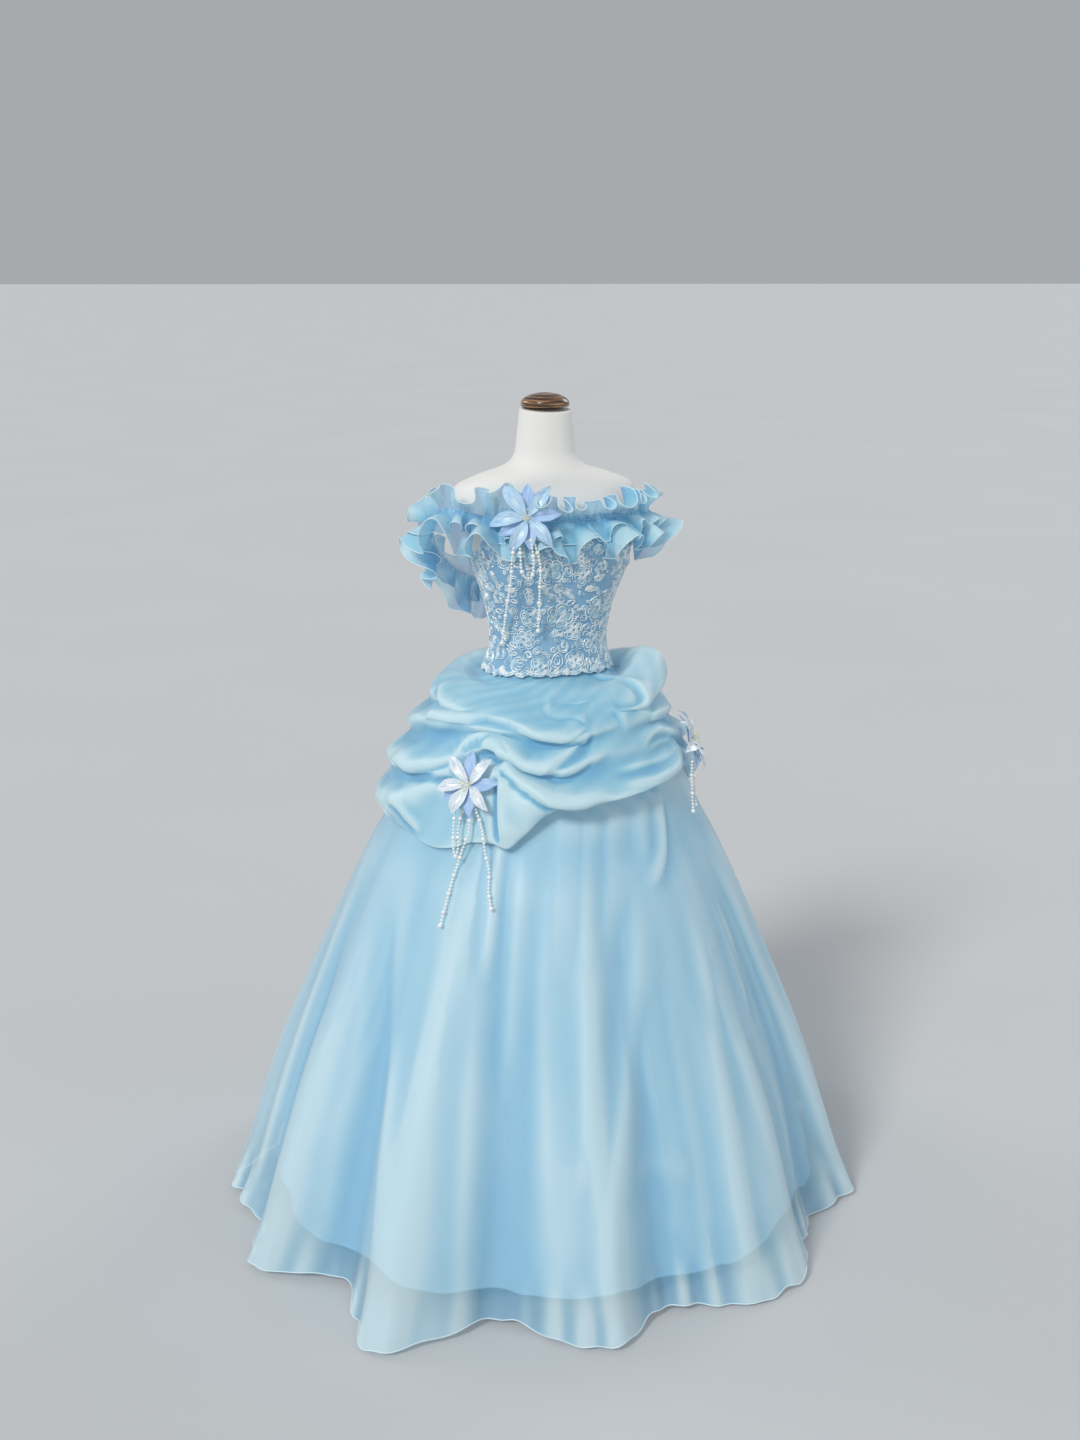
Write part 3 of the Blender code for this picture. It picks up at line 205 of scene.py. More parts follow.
# The edge lies flatter on the gown's right: by how much, and from, over, to and over.
FLAT_EDGE = 0.75
FLAT_EDGE_TURNS = (-125.0, 30.0, -36.0, 12.0)
# In front the cloth slopes plainly from the waist down to the first fold: which rows, and
# from, over, to and over how many degrees.
SLOPE_ROWS = (3, 7)
SLOPE_BULGE = 0.004
PLAIN_SLOPE = (-70.0, 24.0, 32.0, 26.0)

LILIES = (
    # name, azimuth, height, petal_length, stand_out, lean, then of the front petals:
    # share of the length, width, droop, material
    ("chest", -22.0, 1.459, 0.064, 0.0418, 20.0, 1.16, 0.0142, 0.022, "lily_chest"),
    ("hip_right", -47.0, 0.965, 0.064, 0.022, 26.0, 1.06, 0.0128, 0.014, "lily"),
    ("hip_left", 58.0, 0.994, 0.060, 0.018, 24.0, 1.06, 0.0128, 0.014, "lily"),
)
FRONT_PETALS = (-36.0, 38.0, 128.0, 200.0, 267.0)
BACK_PETALS = (2.0, 84.0, 164.0, 234.0)
FRONT_CUP, BACK_CUP = 0.016, 0.008
BACK_WIDTH, BACK_DROOP, BACK_SINK = 0.0135, 0.008, -0.0022
STAMENS, STAMEN_TURN = 7, 51.4
LILY_BEADS, LILY_BEAD_TURN, LILY_BEAD = 11, 137.5, 0.0016
# The bar that a lily's pearl strands hang from: below its centre, and behind it.
BAR_BELOW, BAR_BEHIND = 0.034, 0.0027
PEARL_STRANDS = (
    # lily, root_across, then azimuth, height and stand_out of each point, in millimetres
    ("chest", -22, -38, 1371, 42, -42.8, 1330, 33, -53.7, 1260, 25, -61.5, 1206, 20),
    ("chest", -15, -32.8, 1372, 38, -29.9, 1347, 35, -27.6, 1347, 34, -26.2, 1374, 36,
     -24, 1420, 38),
    ("chest", 11, -23, 1375, 37, -21.8, 1326, 33, -22.4, 1271, 26, -23.5, 1235, 23),
    ("hip_right", -22, -50.9, 880, 34, -49.6, 840, 24, -48.8, 832, 22, -48.3, 842, 24,
     -49, 880, 34, -49, 915, 38),
    ("hip_right", 8, -45.2, 885, 35, -46.6, 843, 26, -48.1, 812, 12, -48.5, 752, 12,
     -48.6, 711, 12),
    ("hip_right", 16, -40.6, 890, 39, -38.9, 852, 31, -37.4, 812, 12, -36.2, 770, 12,
     -35.1, 749, 12),
    ("hip_left", -33, 46.5, 920, 34, 44.8, 868, 18),
    ("hip_left", -25, 50.5, 920, 34, 48.2, 876, 20),
)
SMALL_PEARL, LARGE_PEARL, LAST_PEARL, PEARL_GAP = 0.0026, 0.0041, 0.0044, 0.0016
STRAND_STEP = 0.0005
# Radii of the rolled edges and of the threads.
SKIRT_HEM, RUFFLE_EDGE, THREAD, STITCH = 0.0012, 0.0010, 0.0005, 0.00035

# Folds: crest, broad side, steep side and trough in millimetres, how much of the fold fades
# in and out, then azimuth and height in millimetres of each point of its path. The broad
# side lies on the left of the path. The trough lies on the right: where, and how wide, in
# widths of the steep side.
FOLD_REACH, TROUGH_AT, TROUGH_WIDE = 2.6, 2.1, 1.3
METRES_PER_DEGREE = 0.005   # for even steps along a path
DRAPE_FOLDS = (
    (9, 24, 6, 4, 0.06, 0.10, -88, 1062, -77, 1070, -66, 1073, -57, 1074, -49, 1079,
     -41.5, 1076, -35.6, 1073, -30, 1066, -25, 1056, -18, 1049, -11.8, 1046, -7.5, 1052,
     -3.6, 1061, 1.6, 1074),
    (4.5, 10, 12, 1.5, 0.10, 0.45, 1.6, 1066, -2, 1076, -8, 1082, -14, 1086, -18.2, 1094,
     -17.5, 1106, -12, 1116, -4, 1122),
    (9, 22, 6, 4, 0.12, 0.10, -58.8, 1000, -56.3, 1025, -49.4, 1043, -43.9, 1045,
     -38.3, 1035, -32.9, 1019, -27.8, 998, -21.8, 994, -14.1, 1012, -4.5, 1036, 0.7, 1067),
    (10, 26, 6, 4, 0.10, 0.22, -50, 1043, -41.2, 1033, -35.5, 1003, -28.4, 977, -22.6, 958,
     -17.4, 940, -10, 938, -3, 944, 6, 952),
    (5, 16, 5, 3, 0.25, 0.30, -36.9, 1030, -30.2, 1014, -23.7, 1000, -14, 985, -6, 998,
     0, 1022),
    (8, 20, 5, 8, 0.10, 0.15, -36.2, 990, -35.8, 945, -35, 900, -33.6, 862),
    (7, 26, 6, 3, 0.20, 0.06, -98, 955, -90, 962, -81.6, 956, -74.2, 960, -64.8, 967,
     -57.4, 972),
    (5, 18, 8, 3, 0.3, 0.3, -93, 900, -83, 893, -74, 868, -66, 850),
    (6, 14, 7, 3, 0.2, 0.3, -100, 1116, -91, 1098, -82, 1088, -74, 1089, -66, 1098),
    (9, 24, 7, 4, 0.15, 0.15, 40, 1140, 38.5, 1118, 36.5, 1098, 33, 1084, 26, 1078,
     16, 1080),
    (6, 16, 6, 3, 0.30, 0.08, 24, 1010, 31, 1028, 38.6, 1034, 46.5, 1028, 54, 1012,
     60.5, 998),
    (5, 16, 6, 2.5, 0.35, 0.08, 4, 986, 15.6, 984, 27, 984, 38, 985, 50, 990),
    (6, 18, 6, 3, 0.35, 0.10, 8, 962, 20, 962, 32, 966, 44, 975, 54, 984),
    (5, 16, 8, 2, 0.3, 0.3, 30, 1060, 42, 1056, 54, 1042, 62, 1022),
    # The sides and the back go on with folds like those in front.
    (5.6, 24.2, 10.8, 1.6, 0.15, 0.15, 74, 1072, 88, 1060, 103, 1058, 118, 1070, 130, 1090),
    (5.6, 26.4, 10.8, 1.6, 0.12, 0.15, 66, 996, 80, 984, 98, 986, 115, 1002, 132, 1030),
    (5, 24.2, 10.8, 1.6, 0.15, 0.2, 66, 962, 82, 936, 102, 926, 124, 940, 144, 972),
    (5.6, 24.2, 10.8, 1.6, 0.15, 0.15, 112, 1100, 128, 1074, 147, 1056, 166, 1062,
     182, 1084),
    (5.6, 26.4, 10.8, 1.6, 0.15, 0.15, 126, 1030, 142, 1004, 160, 994, 180, 1004,
     198, 1030),
    (5, 26.4, 10.8, 1.6, 0.15, 0.15, 136, 962, 152, 938, 168, 934, 186, 948, 204, 978),
    (5.6, 24.2, 10.8, 1.6, 0.15, 0.15, 178, 1092, 194, 1066, 212, 1050, 230, 1052,
     246, 1066),
    (5.6, 26.4, 10.8, 1.6, 0.15, 0.12, 192, 1024, 208, 998, 226, 986, 244, 994, 262, 1016,
     276, 1030),
    (5, 24.2, 10.8, 1.6, 0.15, 0.15, 196, 948, 212, 918, 230, 906, 248, 914, 264, 934),
    (4.3, 19.8, 10.8, 1.2, 0.2, 0.2, 240, 1104, 252, 1084, 264, 1076, 276, 1086),
    (3.1, 17.6, 14.4, 0.8, 0.3, 0.3, 150, 1110, 163, 1092, 177, 1090, 190, 1108),
    (5.5, 24, 12, 2, 0.2, 0.2, 118, 1085, 132, 1040, 150, 985, 170, 930),
    (5, 22, 12, 2, 0.2, 0.2, 206, 1075, 200, 1020, 188, 965, 172, 925),
    (5, 22, 12, 2, 0.2, 0.2, 226, 1060, 240, 1010, 250, 960, 262, 900),
)
SKIRT_FOLDS = (
    # The first is the sharp one under the drape.
    (9, 9, 20, 0, 0.02, 0.35, 30.5, 925, 28, 885, 25, 845, 21.5, 812, 16.5, 782, 11, 765),
    (4.5, 24, 34, 2, 0.30, 0.30, 35.1, 712, 39.9, 668, 40.9, 628, 40.3, 585, 39, 533,
     36.8, 484, 35.8, 435, 32.7, 380),
    (2, 36, 30, 1, 0.4, 0.4, -21, 252, -15.4, 287, -9.9, 311, -0.9, 290, 9.8, 262,
     21.3, 231),
    (8, 34, 22, 4, 0.25, 0.001, 10.9, 800, 6, 679, 2.5, 575, -2, 434, -5.8, 299, -7.5, 211,
     -8.4, 119, -9, 0),
    (6, 12, 12, 3, 0.02, 0.45, -35.6, 875, -35, 800, -34.6, 700, -34.8, 580),
    (8, 40, 26, 4, 0.25, 0.001, -68.1, 830, -61.9, 657, -58, 516, -53.5, 389, -50.6, 261,
     -47.8, 139, -46, 0),
    (7, 26, 18, 3, 0.20, 0.35, -27, 860, -27.7, 756, -27.7, 656, -27.8, 516, -28.1, 380),
    (3.5, 24, 20, 2, 0.10, 0.45, -10, 915, -12, 840, -14, 740, -15.5, 600),
    (4, 20, 18, 2, 0.10, 0.45, -1, 920, -5, 828, -8.5, 695, -11.1, 540),
    (3.5, 26, 18, 2, 0.10, 0.45, 8, 925, 4, 840, 0, 740, -3, 620),
    (4, 24, 20, 2, 0.10, 0.45, 20, 925, 17, 860, 14, 780),
    (7, 26, 20, 3, 0.25, 0.001, 26, 760, 23, 600, 20, 420, 18.5, 220, 18, 0),
    (8, 30, 22, 4, 0.20, 0.001, 50, 820, 52, 640, 54, 460, 57, 240, 60, 0),
)


# ---------------------------------------------------------------- curves through tables
def curve(x, xs, ys):
    """Smooth curve through (xs, ys) that never swings past its points."""
    x = np.clip(np.asarray(x, float), xs[0], xs[-1])
    step = np.diff(xs)
    rise = np.diff(ys) / step
    same_way = rise[:-1] * rise[1:] > 0
    total = np.where(same_way, rise[:-1] + rise[1:], 1.0)
    middle = np.where(same_way, 2.0 * rise[:-1] * rise[1:] / total, 0.0)
    slope = np.concatenate([rise[:1], middle, rise[-1:]])
    i = np.clip(np.searchsorted(xs, x) - 1, 0, len(step) - 1)
    h = step[i]
    u = (x - xs[i]) / h
    start = (1 + 2 * u) * (1 - u) ** 2 * ys[i] + u * (1 - u) ** 2 * h * slope[i]
    end = u * u * (3 - 2 * u) * ys[i + 1] + u * u * (u - 1) * h * slope[i + 1]
    return start + end


def wrapped(turn):
    """The same turn between -180 and 180."""
    return (np.asarray(turn, float) + 180.0) % 360.0 - 180.0


def around(turn, table, k=1):
    """Column k of a table that repeats every 360 degrees, at a turn."""
    turns = table[0]
    return curve(wrapped(turn), np.concatenate([turns - 360, turns, turns + 360]),
                 np.tile(table[k], 3))


def smooth_step(x):
    """0 below 0, 1 above 1, and smooth between."""
    x = np.clip(x, 0.0, 1.0)
    return x * x * (3 - 2 * x)


def hump(x, middle, spread):
    """1 at the middle, and down to 0 on both sides."""
    return np.exp(-((x - middle) / spread) ** 2)


def between(turn, low, low_fade, high, high_fade):
    """1 from one turn to another and 0 beyond them, fading over the turns given."""
    return smooth_step((turn - low) / low_fade) * smooth_step((high - turn) / high_fade)


def wander(turn, seed, waves):
    """Uneven but repeating values round a turn, about -1 to 1."""
    angle = np.radians(turn)
    rng = np.random.default_rng(seed)
    total = 0.0
    for wave in waves:
        total = total + math.cos(rng.uniform(-0.8, 0.8)) * np.sin(
            wave * angle + rng.uniform(0, 2 * math.pi))
    return total / math.sqrt(len(waves))


def unit(vectors):
    """Vectors made one long."""
    return vectors / np.maximum(np.linalg.norm(vectors, axis=-1, keepdims=True), 1e-9)


def summed(steps):
    """Running sum of steps, from 0."""
    return np.concatenate([[0.0], np.cumsum(steps)])


def run_along(line):
    """How far along a line each of its points lies."""
    return summed(np.linalg.norm(np.diff(line, axis=0), axis=1))


def follow(at, run, line, way=curve):
    """Points at distances along a line: a smooth curve, or straight from point to point."""
    return np.stack([way(at, run, part) for part in line.T], axis=-1)


# ---------------------------------------------------------------- surfaces of the solids
def body_section(turn, height):
    """Point of the dress form's surface at a turn and a height."""
    half_width, front, back, lead = (curve(height, TORSO[0], part) for part in TORSO[1:])
    angle = np.radians(turn)
    s = np.sin(angle)
    c = np.cos(angle)
    x = half_width * np.sign(s) * np.abs(s) ** ROUND_POWER
    depth = np.where(c > 0, front - lead, back + lead)
    y = -lead - depth * np.sign(c) * np.abs(c) ** ROUND_POWER
    swell = hump(height, BUST_HEIGHT, BUST_SPREAD)
    cups = hump(np.abs(x), BUST_X, BUST_SPREAD)
    return x, y - BUST_DEPTH * swell * cups * smooth_step(c * 6)


def body_point(turn, height, out):
    """Point that stands a distance out from the dress form."""
    turn, height = np.broadcast_arrays(np.asarray(turn, float), np.asarray(height, float))
    x, y = body_section(turn, height)
    ahead = body_section(turn + 2.0, height)
    behind = body_section(turn - 2.0, height)
    along_x = ahead[0] - behind[0]
    along_y = ahead[1] - behind[1]
    length = np.hypot(along_x, along_y)
    return np.stack([x + out * along_y / length, y - out * along_x / length, height], axis=-1)


def round_point(azimuth, radius, height):
    """Point at an azimuth and a radius from the pole."""
    azimuth, radius, height = np.broadcast_arrays(azimuth, radius, height)
    angle = np.radians(azimuth)
    return np.stack([radius * np.sin(angle), -radius * np.cos(angle), height], axis=-1)


def flute(azimuth, height):
    """How far the organza's flutes stand out at a height."""
    grow = np.clip((FLUTE_START - height) / FLUTE_START, 0.0, 1.0) ** FLUTE_POWER
    return (around(azimuth, HEM_FLUTES) - MEAN_HEM_RADIUS) * grow


def skirt_point(azimuth, height, layer, extra=0.0):
    """Point of a long layer, LINING or ORGANZA."""
    azimuth, height = np.broadcast_arrays(azimuth, height)
    mean = curve(height, SKIRT_PROFILE[0], SKIRT_PROFILE[layer])
    fluted = flute(azimuth, height) * FLUTE_SHARE[layer]
    loose = round_point(azimuth, mean + fluted + extra, height)
    held = body_point(azimuth, height, WAIST_OUT[layer])
    weight = smooth_step((height - OVAL_END) / (OVAL_START - OVAL_END))[..., None]
    return held * weight + loose * (1 - weight)


def bodice_top(turn):
    """Height of the bodice's upper edge."""
    return curve(np.abs(wrapped(turn)), *BODICE_TOP)


def bodice_bottom(turn):
    """Height of the scalloped lower edge."""
    wave = np.abs(np.sin(np.radians(turn) * SCALLOPS / 2))
    return BODICE_BOTTOM + SCALLOP_DEPTH * (1 - wave)


def waist_flare(height):
    """How far the bodice stands out over the skirt's waist."""
    above = height - BODICE_BOTTOM - WAIST_BAND
    return WAIST_FLARE * smooth_step(1 - above / (WAIST_FLARE_REACH - WAIST_BAND))


def bodice_point(turn, height, out):
    """Point over the bodice's satin."""
    ease = BUST_EASE * hump(np.asarray(height), BUST_HEIGHT, BUST_SPREAD)
    return body_point(turn, height, SATIN_FACE + waist_flare(height) + ease + out)


# ---------------------------------------------------------------- mesh building
def add_mesh(name, material, points, faces, uv=None, smooth=True):
    """One mesh object; uv gives a place in metres for each face corner."""
    mesh = bpy.data.meshes.new(name)
    mesh.from_pydata(np.asarray(points, float).tolist(), [], faces)
    if uv is not None:
        layer = mesh.uv_layers.new(name="cloth")
        layer.uv.foreach_set("vector", np.asarray(uv, np.float32).ravel())
    if smooth:
        mesh.shade_smooth()
    mesh.materials.append(materials[material])
    thing = bpy.data.objects.new(name, mesh)
    bpy.context.scene.collection.objects.link(thing)
    return thing


def add_piece(name, slot, material, mesh, *nodes, uv=None, smooth=True):
    """A piece of points and faces that rides on the gown and stands for its solids."""
    thing = add_mesh(name, material, *mesh, uv, smooth)
    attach(thing, "root")
    if nodes:
        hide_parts(*nodes)
    return thing


def grid_cells(rows, count, wrap):
    """Row and column of each cell of a grid."""
    return np.meshgrid(np.arange(rows - 1), np.arange(count - (0 if wrap else 1)),
                       indexing="ij")


def grid_faces(rows, count, wrap, first=0):
    """Quads of a grid whose points run row by row, seen from outside."""
    i, j = grid_cells(rows, count, wrap)
    after = (j + 1) % count
    quads = np.stack([i * count + j, (i + 1) * count + j,
                      (i + 1) * count + after, i * count + after], axis=-1)
    return (quads.reshape(-1, 4) + first).tolist()


def closed_faces(rows, sides):
    """Faces of a wrapped grid that a point above it and a point below it close."""
    faces = grid_faces(rows, sides, True)
    top = rows * sides
    low = top - sides
    for k in range(sides):
        after = (k + 1) % sides
        faces += [[top, k, after], [top + 1, low + after, low + k]]
    return faces


def grid_uv(grid, wrap):
    """Corner places in metres: across the cloth, and down it."""
    rows, count = grid.shape[:2]
    steps = np.linalg.norm(np.diff(grid, axis=1, append=grid[:, :1]), axis=-1)
    across = summed(steps[rows // 2])
    down = summed(np.linalg.norm(np.diff(grid, axis=0), axis=-1).mean(axis=1))
    i, j = grid_cells(rows, count, wrap)
    corners = [(across[j], down[i]), (across[j], down[i + 1]),
               (across[j + 1], down[i + 1]), (across[j + 1], down[i])]
    return np.stack([np.stack(c, axis=-1) for c in corners], axis=2).reshape(-1, 2)


def add_cloth(key, name, slot, material, grid, wrap, *nodes):
    """Sheet of cloth through a grid of points."""
    mesh = (grid.reshape(-1, 3), grid_faces(*grid.shape[:2], wrap))
    sheets[key] = add_piece(name, slot, material, mesh, *nodes, uv=grid_uv(grid, wrap))
    hems[key] = []
    return sheets[key]


def add_lathe(name, slot, material, node, sides, profile):
    """Closed turned piece from (radius, height) points in millimetres, bottom to top."""
    angle = np.arange(sides) * 2 * math.pi / sides
    profile = np.array(profile)[::-1] / 1000.0
    rings = [np.stack([r * np.sin(angle), -r * np.cos(angle), np.full(sides, h)], axis=-1)
             for r, h in profile]
    points = np.concatenate(rings + [[[0, 0, profile[0][1]], [0, 0, profile[-1][1]]]])
    thing = add_piece(name, slot, material, (points, closed_faces(len(profile), sides)), node)
    thing.data.set_sharp_from_angle(angle=SHARP_EDGE)


def tubes(lines, radius, sides, closed=False):
    """Points and faces of round tubes along lines, each an array of points."""
    points = []
    faces = []
    count = 0
    turn = np.arange(sides) * 2 * math.pi / sides
    for line in lines:
        ahead = np.roll(line, -1, axis=0) - np.roll(line, 1, axis=0)
        if not closed:
            ahead[0] = line[1] - line[0]
            ahead[-1] = line[-1] - line[-2]
        ahead = unit(ahead)
        side = unit(np.cross(ahead, NEARLY_UP))
        up = np.cross(side, ahead)
        ring = side[:, None] * np.cos(turn)[:, None] + up[:, None] * np.sin(turn)[:, None]
        points.append((line[:, None] + ring * radius).reshape(-1, 3))
        faces += grid_faces(len(line), sides, True, count)
        if closed:
            last = count + (len(line) - 1) * sides
            for k in range(sides):
                after = (k + 1) % sides
                faces.append([last + k, count + k, count + after, last + after])
        count += len(line) * sides
    return np.concatenate(points), faces


def stone(sides, rings):
    """Points and faces of a unit ball."""
    up = np.linspace(0, math.pi, rings + 1)[1:-1]
    turn = np.arange(sides) * 2 * math.pi / sides
    grid = np.stack([np.outer(np.sin(up), np.cos(turn)), np.outer(np.sin(up), np.sin(turn)),
                     np.outer(np.cos(up), np.ones(sides))], axis=-1).reshape(-1, 3)
    points = np.concatenate([grid, [[0, 0, 1], [0, 0, -1]]])
    return points, closed_faces(rings - 1, sides)


def scattered(shape, spots, sizes, frames=None):
    """Copies of a shape at spots, each with its own size and, if given, directions."""
    points, faces = shape
    spots = np.asarray(spots, float)
    sizes = np.broadcast_to(np.asarray(sizes, float).T, (3, len(spots))).T
    copies = points[None] * sizes[:, None, :]
    if frames is not None:
        copies = np.einsum("npk,nkx->npx", copies, np.array(frames))
    copies = copies + spots[:, None]
    made = [[v + n * len(points) for v in face] for n in range(len(spots)) for face in faces]
    return copies.reshape(-1, 3), made


def joined(first, second):
    """Two meshes as one."""
    shift = len(first[0])
    return (np.concatenate([first[0], second[0]]),
            first[1] + [[v + shift for v in face] for face in second[1]])


# ---------------------------------------------------------------- materials
def triple(value):
    """Three equal numbers, or the three given."""
    return value if isinstance(value, tuple) else (value,) * 3


class Nodes:
    """A node material made step by step."""

    def __init__(self, name, colour, roughness, **fixed):
        self.material = bpy.data.materials.new(name)
        self.material.use_nodes = True
        self.tree = self.material.node_tree
        self.shader = self.tree.nodes["Principled BSDF"]
        self.shader.inputs["Base Color"].default_value = (*colour, 1.0)
        self.shader.inputs["Roughness"].default_value = roughness
        for socket, value in fixed.items():
            self.shader.inputs[socket.replace("_", " ")].default_value = value

    def add(self, kind, **settings):
        """A node; settings are its properties or, failing that, its input values."""
        node = self.tree.nodes.new(kind)
        for key, value in settings.items():
            if hasattr(node, key):
                setattr(node, key, value)
            else:
                node.inputs[key.replace("_", " ")].default_value = value
        return node

    def link(self, output, target):
        self.tree.links.new(output, target)

    def place(self, scale, uv):
        """Scaled place on the cloth in metres, or in the object's own space."""
        if uv:
            where = self.add("ShaderNodeUVMap", uv_map="cloth").outputs["UV"]
        else:
            where = self.add("ShaderNodeTexCoord").outputs["Object"]
        stretch = self.add("ShaderNodeMapping", Scale=triple(scale))
        self.link(where, stretch.inputs["Vector"])
        return stretch.outputs["Vector"]

    def noise(self, scale, detail, uv=False):
        """Noise with this many waves in a metre, all ways or each way."""
        node = self.add("ShaderNodeTexNoise", Scale=1.0, Detail=detail, Roughness=0.5)
        self.link(self.place(scale, uv), node.inputs["Vector"])
        return node.outputs["Fac"]

    def weave(self, threads):
        """Height of a plain weave with this many threads in a metre each way."""
        both = self.add("ShaderNodeMath", operation="MAXIMUM")
        for k, direction in enumerate("XY"):
            wave = self.add("ShaderNodeTexWave", wave_type="BANDS", bands_direction=direction,
                            Scale=threads * math.pi / 10.0, Distortion=0.4, Detail=1.0)
            self.link(self.place(1.0, True), wave.inputs["Vector"])
            self.link(wave.outputs["Fac"], both.inputs[k])
        return both.outputs[0]

    def value(self, source, uv):
        """A noise, given as its scale and detail, or the value given."""
        return self.noise(*source, uv) if isinstance(source, tuple) else source

    def paint(self, source, *stops, socket="Base Color", uv=False):
        """Run colours or greys along a value: stops are (place, colour)."""
        node = self.add("ShaderNodeValToRGB")
        ends = node.color_ramp.elements
        while len(ends) < len(stops):
            ends.new(0.5)
        for end, (at, colour) in zip(ends, stops):
            end.position = at
            end.color = (*triple(colour), 1.0)
        self.link(self.value(source, uv), node.inputs["Fac"])
        self.link(node.outputs["Color"], self.shader.inputs[socket])
        return self

    def bump(self, source, strength, distance, uv=False):
        """Raise the surface by a value, on top of what was raised before."""
        node = self.add("ShaderNodeBump", Strength=strength, Distance=distance)
        self.link(self.value(source, uv), node.inputs["Height"])
        before = self.shader.inputs["Normal"].links
        if before:
            self.link(before[0].from_socket, node.inputs["Normal"])
        self.link(node.outputs["Normal"], self.shader.inputs["Normal"])
        return self


def organza(name, deep, plain, pale, alpha):
    """Sheer crisp silk organza with a very fine weave: painted highlight, paler, on fold crests
    where layers catch the light, and painted shade, deeper, in the folds; opacity follows the
    same painted shading.
    """
    made = Nodes(name, plain, 0.46, Sheen_Weight=0.75, Sheen_Roughness=0.30,
                 Sheen_Tint=(0.86, 0.95, 1.0, 1.0), Specular_IOR_Level=0.35)
    # Painted shading of the folds from the points, mixed with a little random noise tone.
    mixed = made.add("ShaderNodeMix", data_type="FLOAT")
    mixed.inputs["Factor"].default_value = 0.28
    tone = made.add("ShaderNodeVertexColor", layer_name="tone")
    made.link(tone.outputs["Color"], mixed.inputs["A"])
    made.link(made.noise((9, 3, 9), 2, True), mixed.inputs["B"])
    tone = mixed.outputs["Result"]
    # Painted shade (deep) in fold troughs, plain cloth, painted highlight (pale) on fold crests;
    # the opacity follows the same painted shading.
    made.paint(tone, (0.12, deep), (0.48, plain), (0.84, pale))
    made.paint(tone, (0.2, alpha - 0.02), (0.8, alpha + 0.12), socket="Alpha")
    made.paint(((60, 8, 60), 2), (0.3, 0.38), (0.7, 0.52), socket="Roughness", uv=True)
    made.bump(made.weave(2400), 0.10, 0.0001)
    return made.bump(((34, 7, 34), 3), 0.09, 0.002, True)


def satin(name, pale, deep, rough):
    """Soft opaque satin with long shimmering streaks: a painted sheen of lighter and darker
    streaks in its colour.
    """
    made = Nodes(name, pale, rough, Sheen_Weight=0.25, Sheen_Roughness=0.35,
                 Specular_IOR_Level=0.55)
    # Painted sheen: long streaks painted from the darker to the paler colour.
    made.paint(((10, 1.6, 10), 2), (0.32, deep), (0.68, pale), uv=True)
    made.paint(((240, 10, 240), 2), (0.3, rough - 0.04), (0.7, rough + 0.08),
               socket="Roughness", uv=True)
    made.bump(made.weave(3200), 0.08, 0.0001)
    return made.bump(((18, 4, 18), 2), 0.20, 0.004, True)


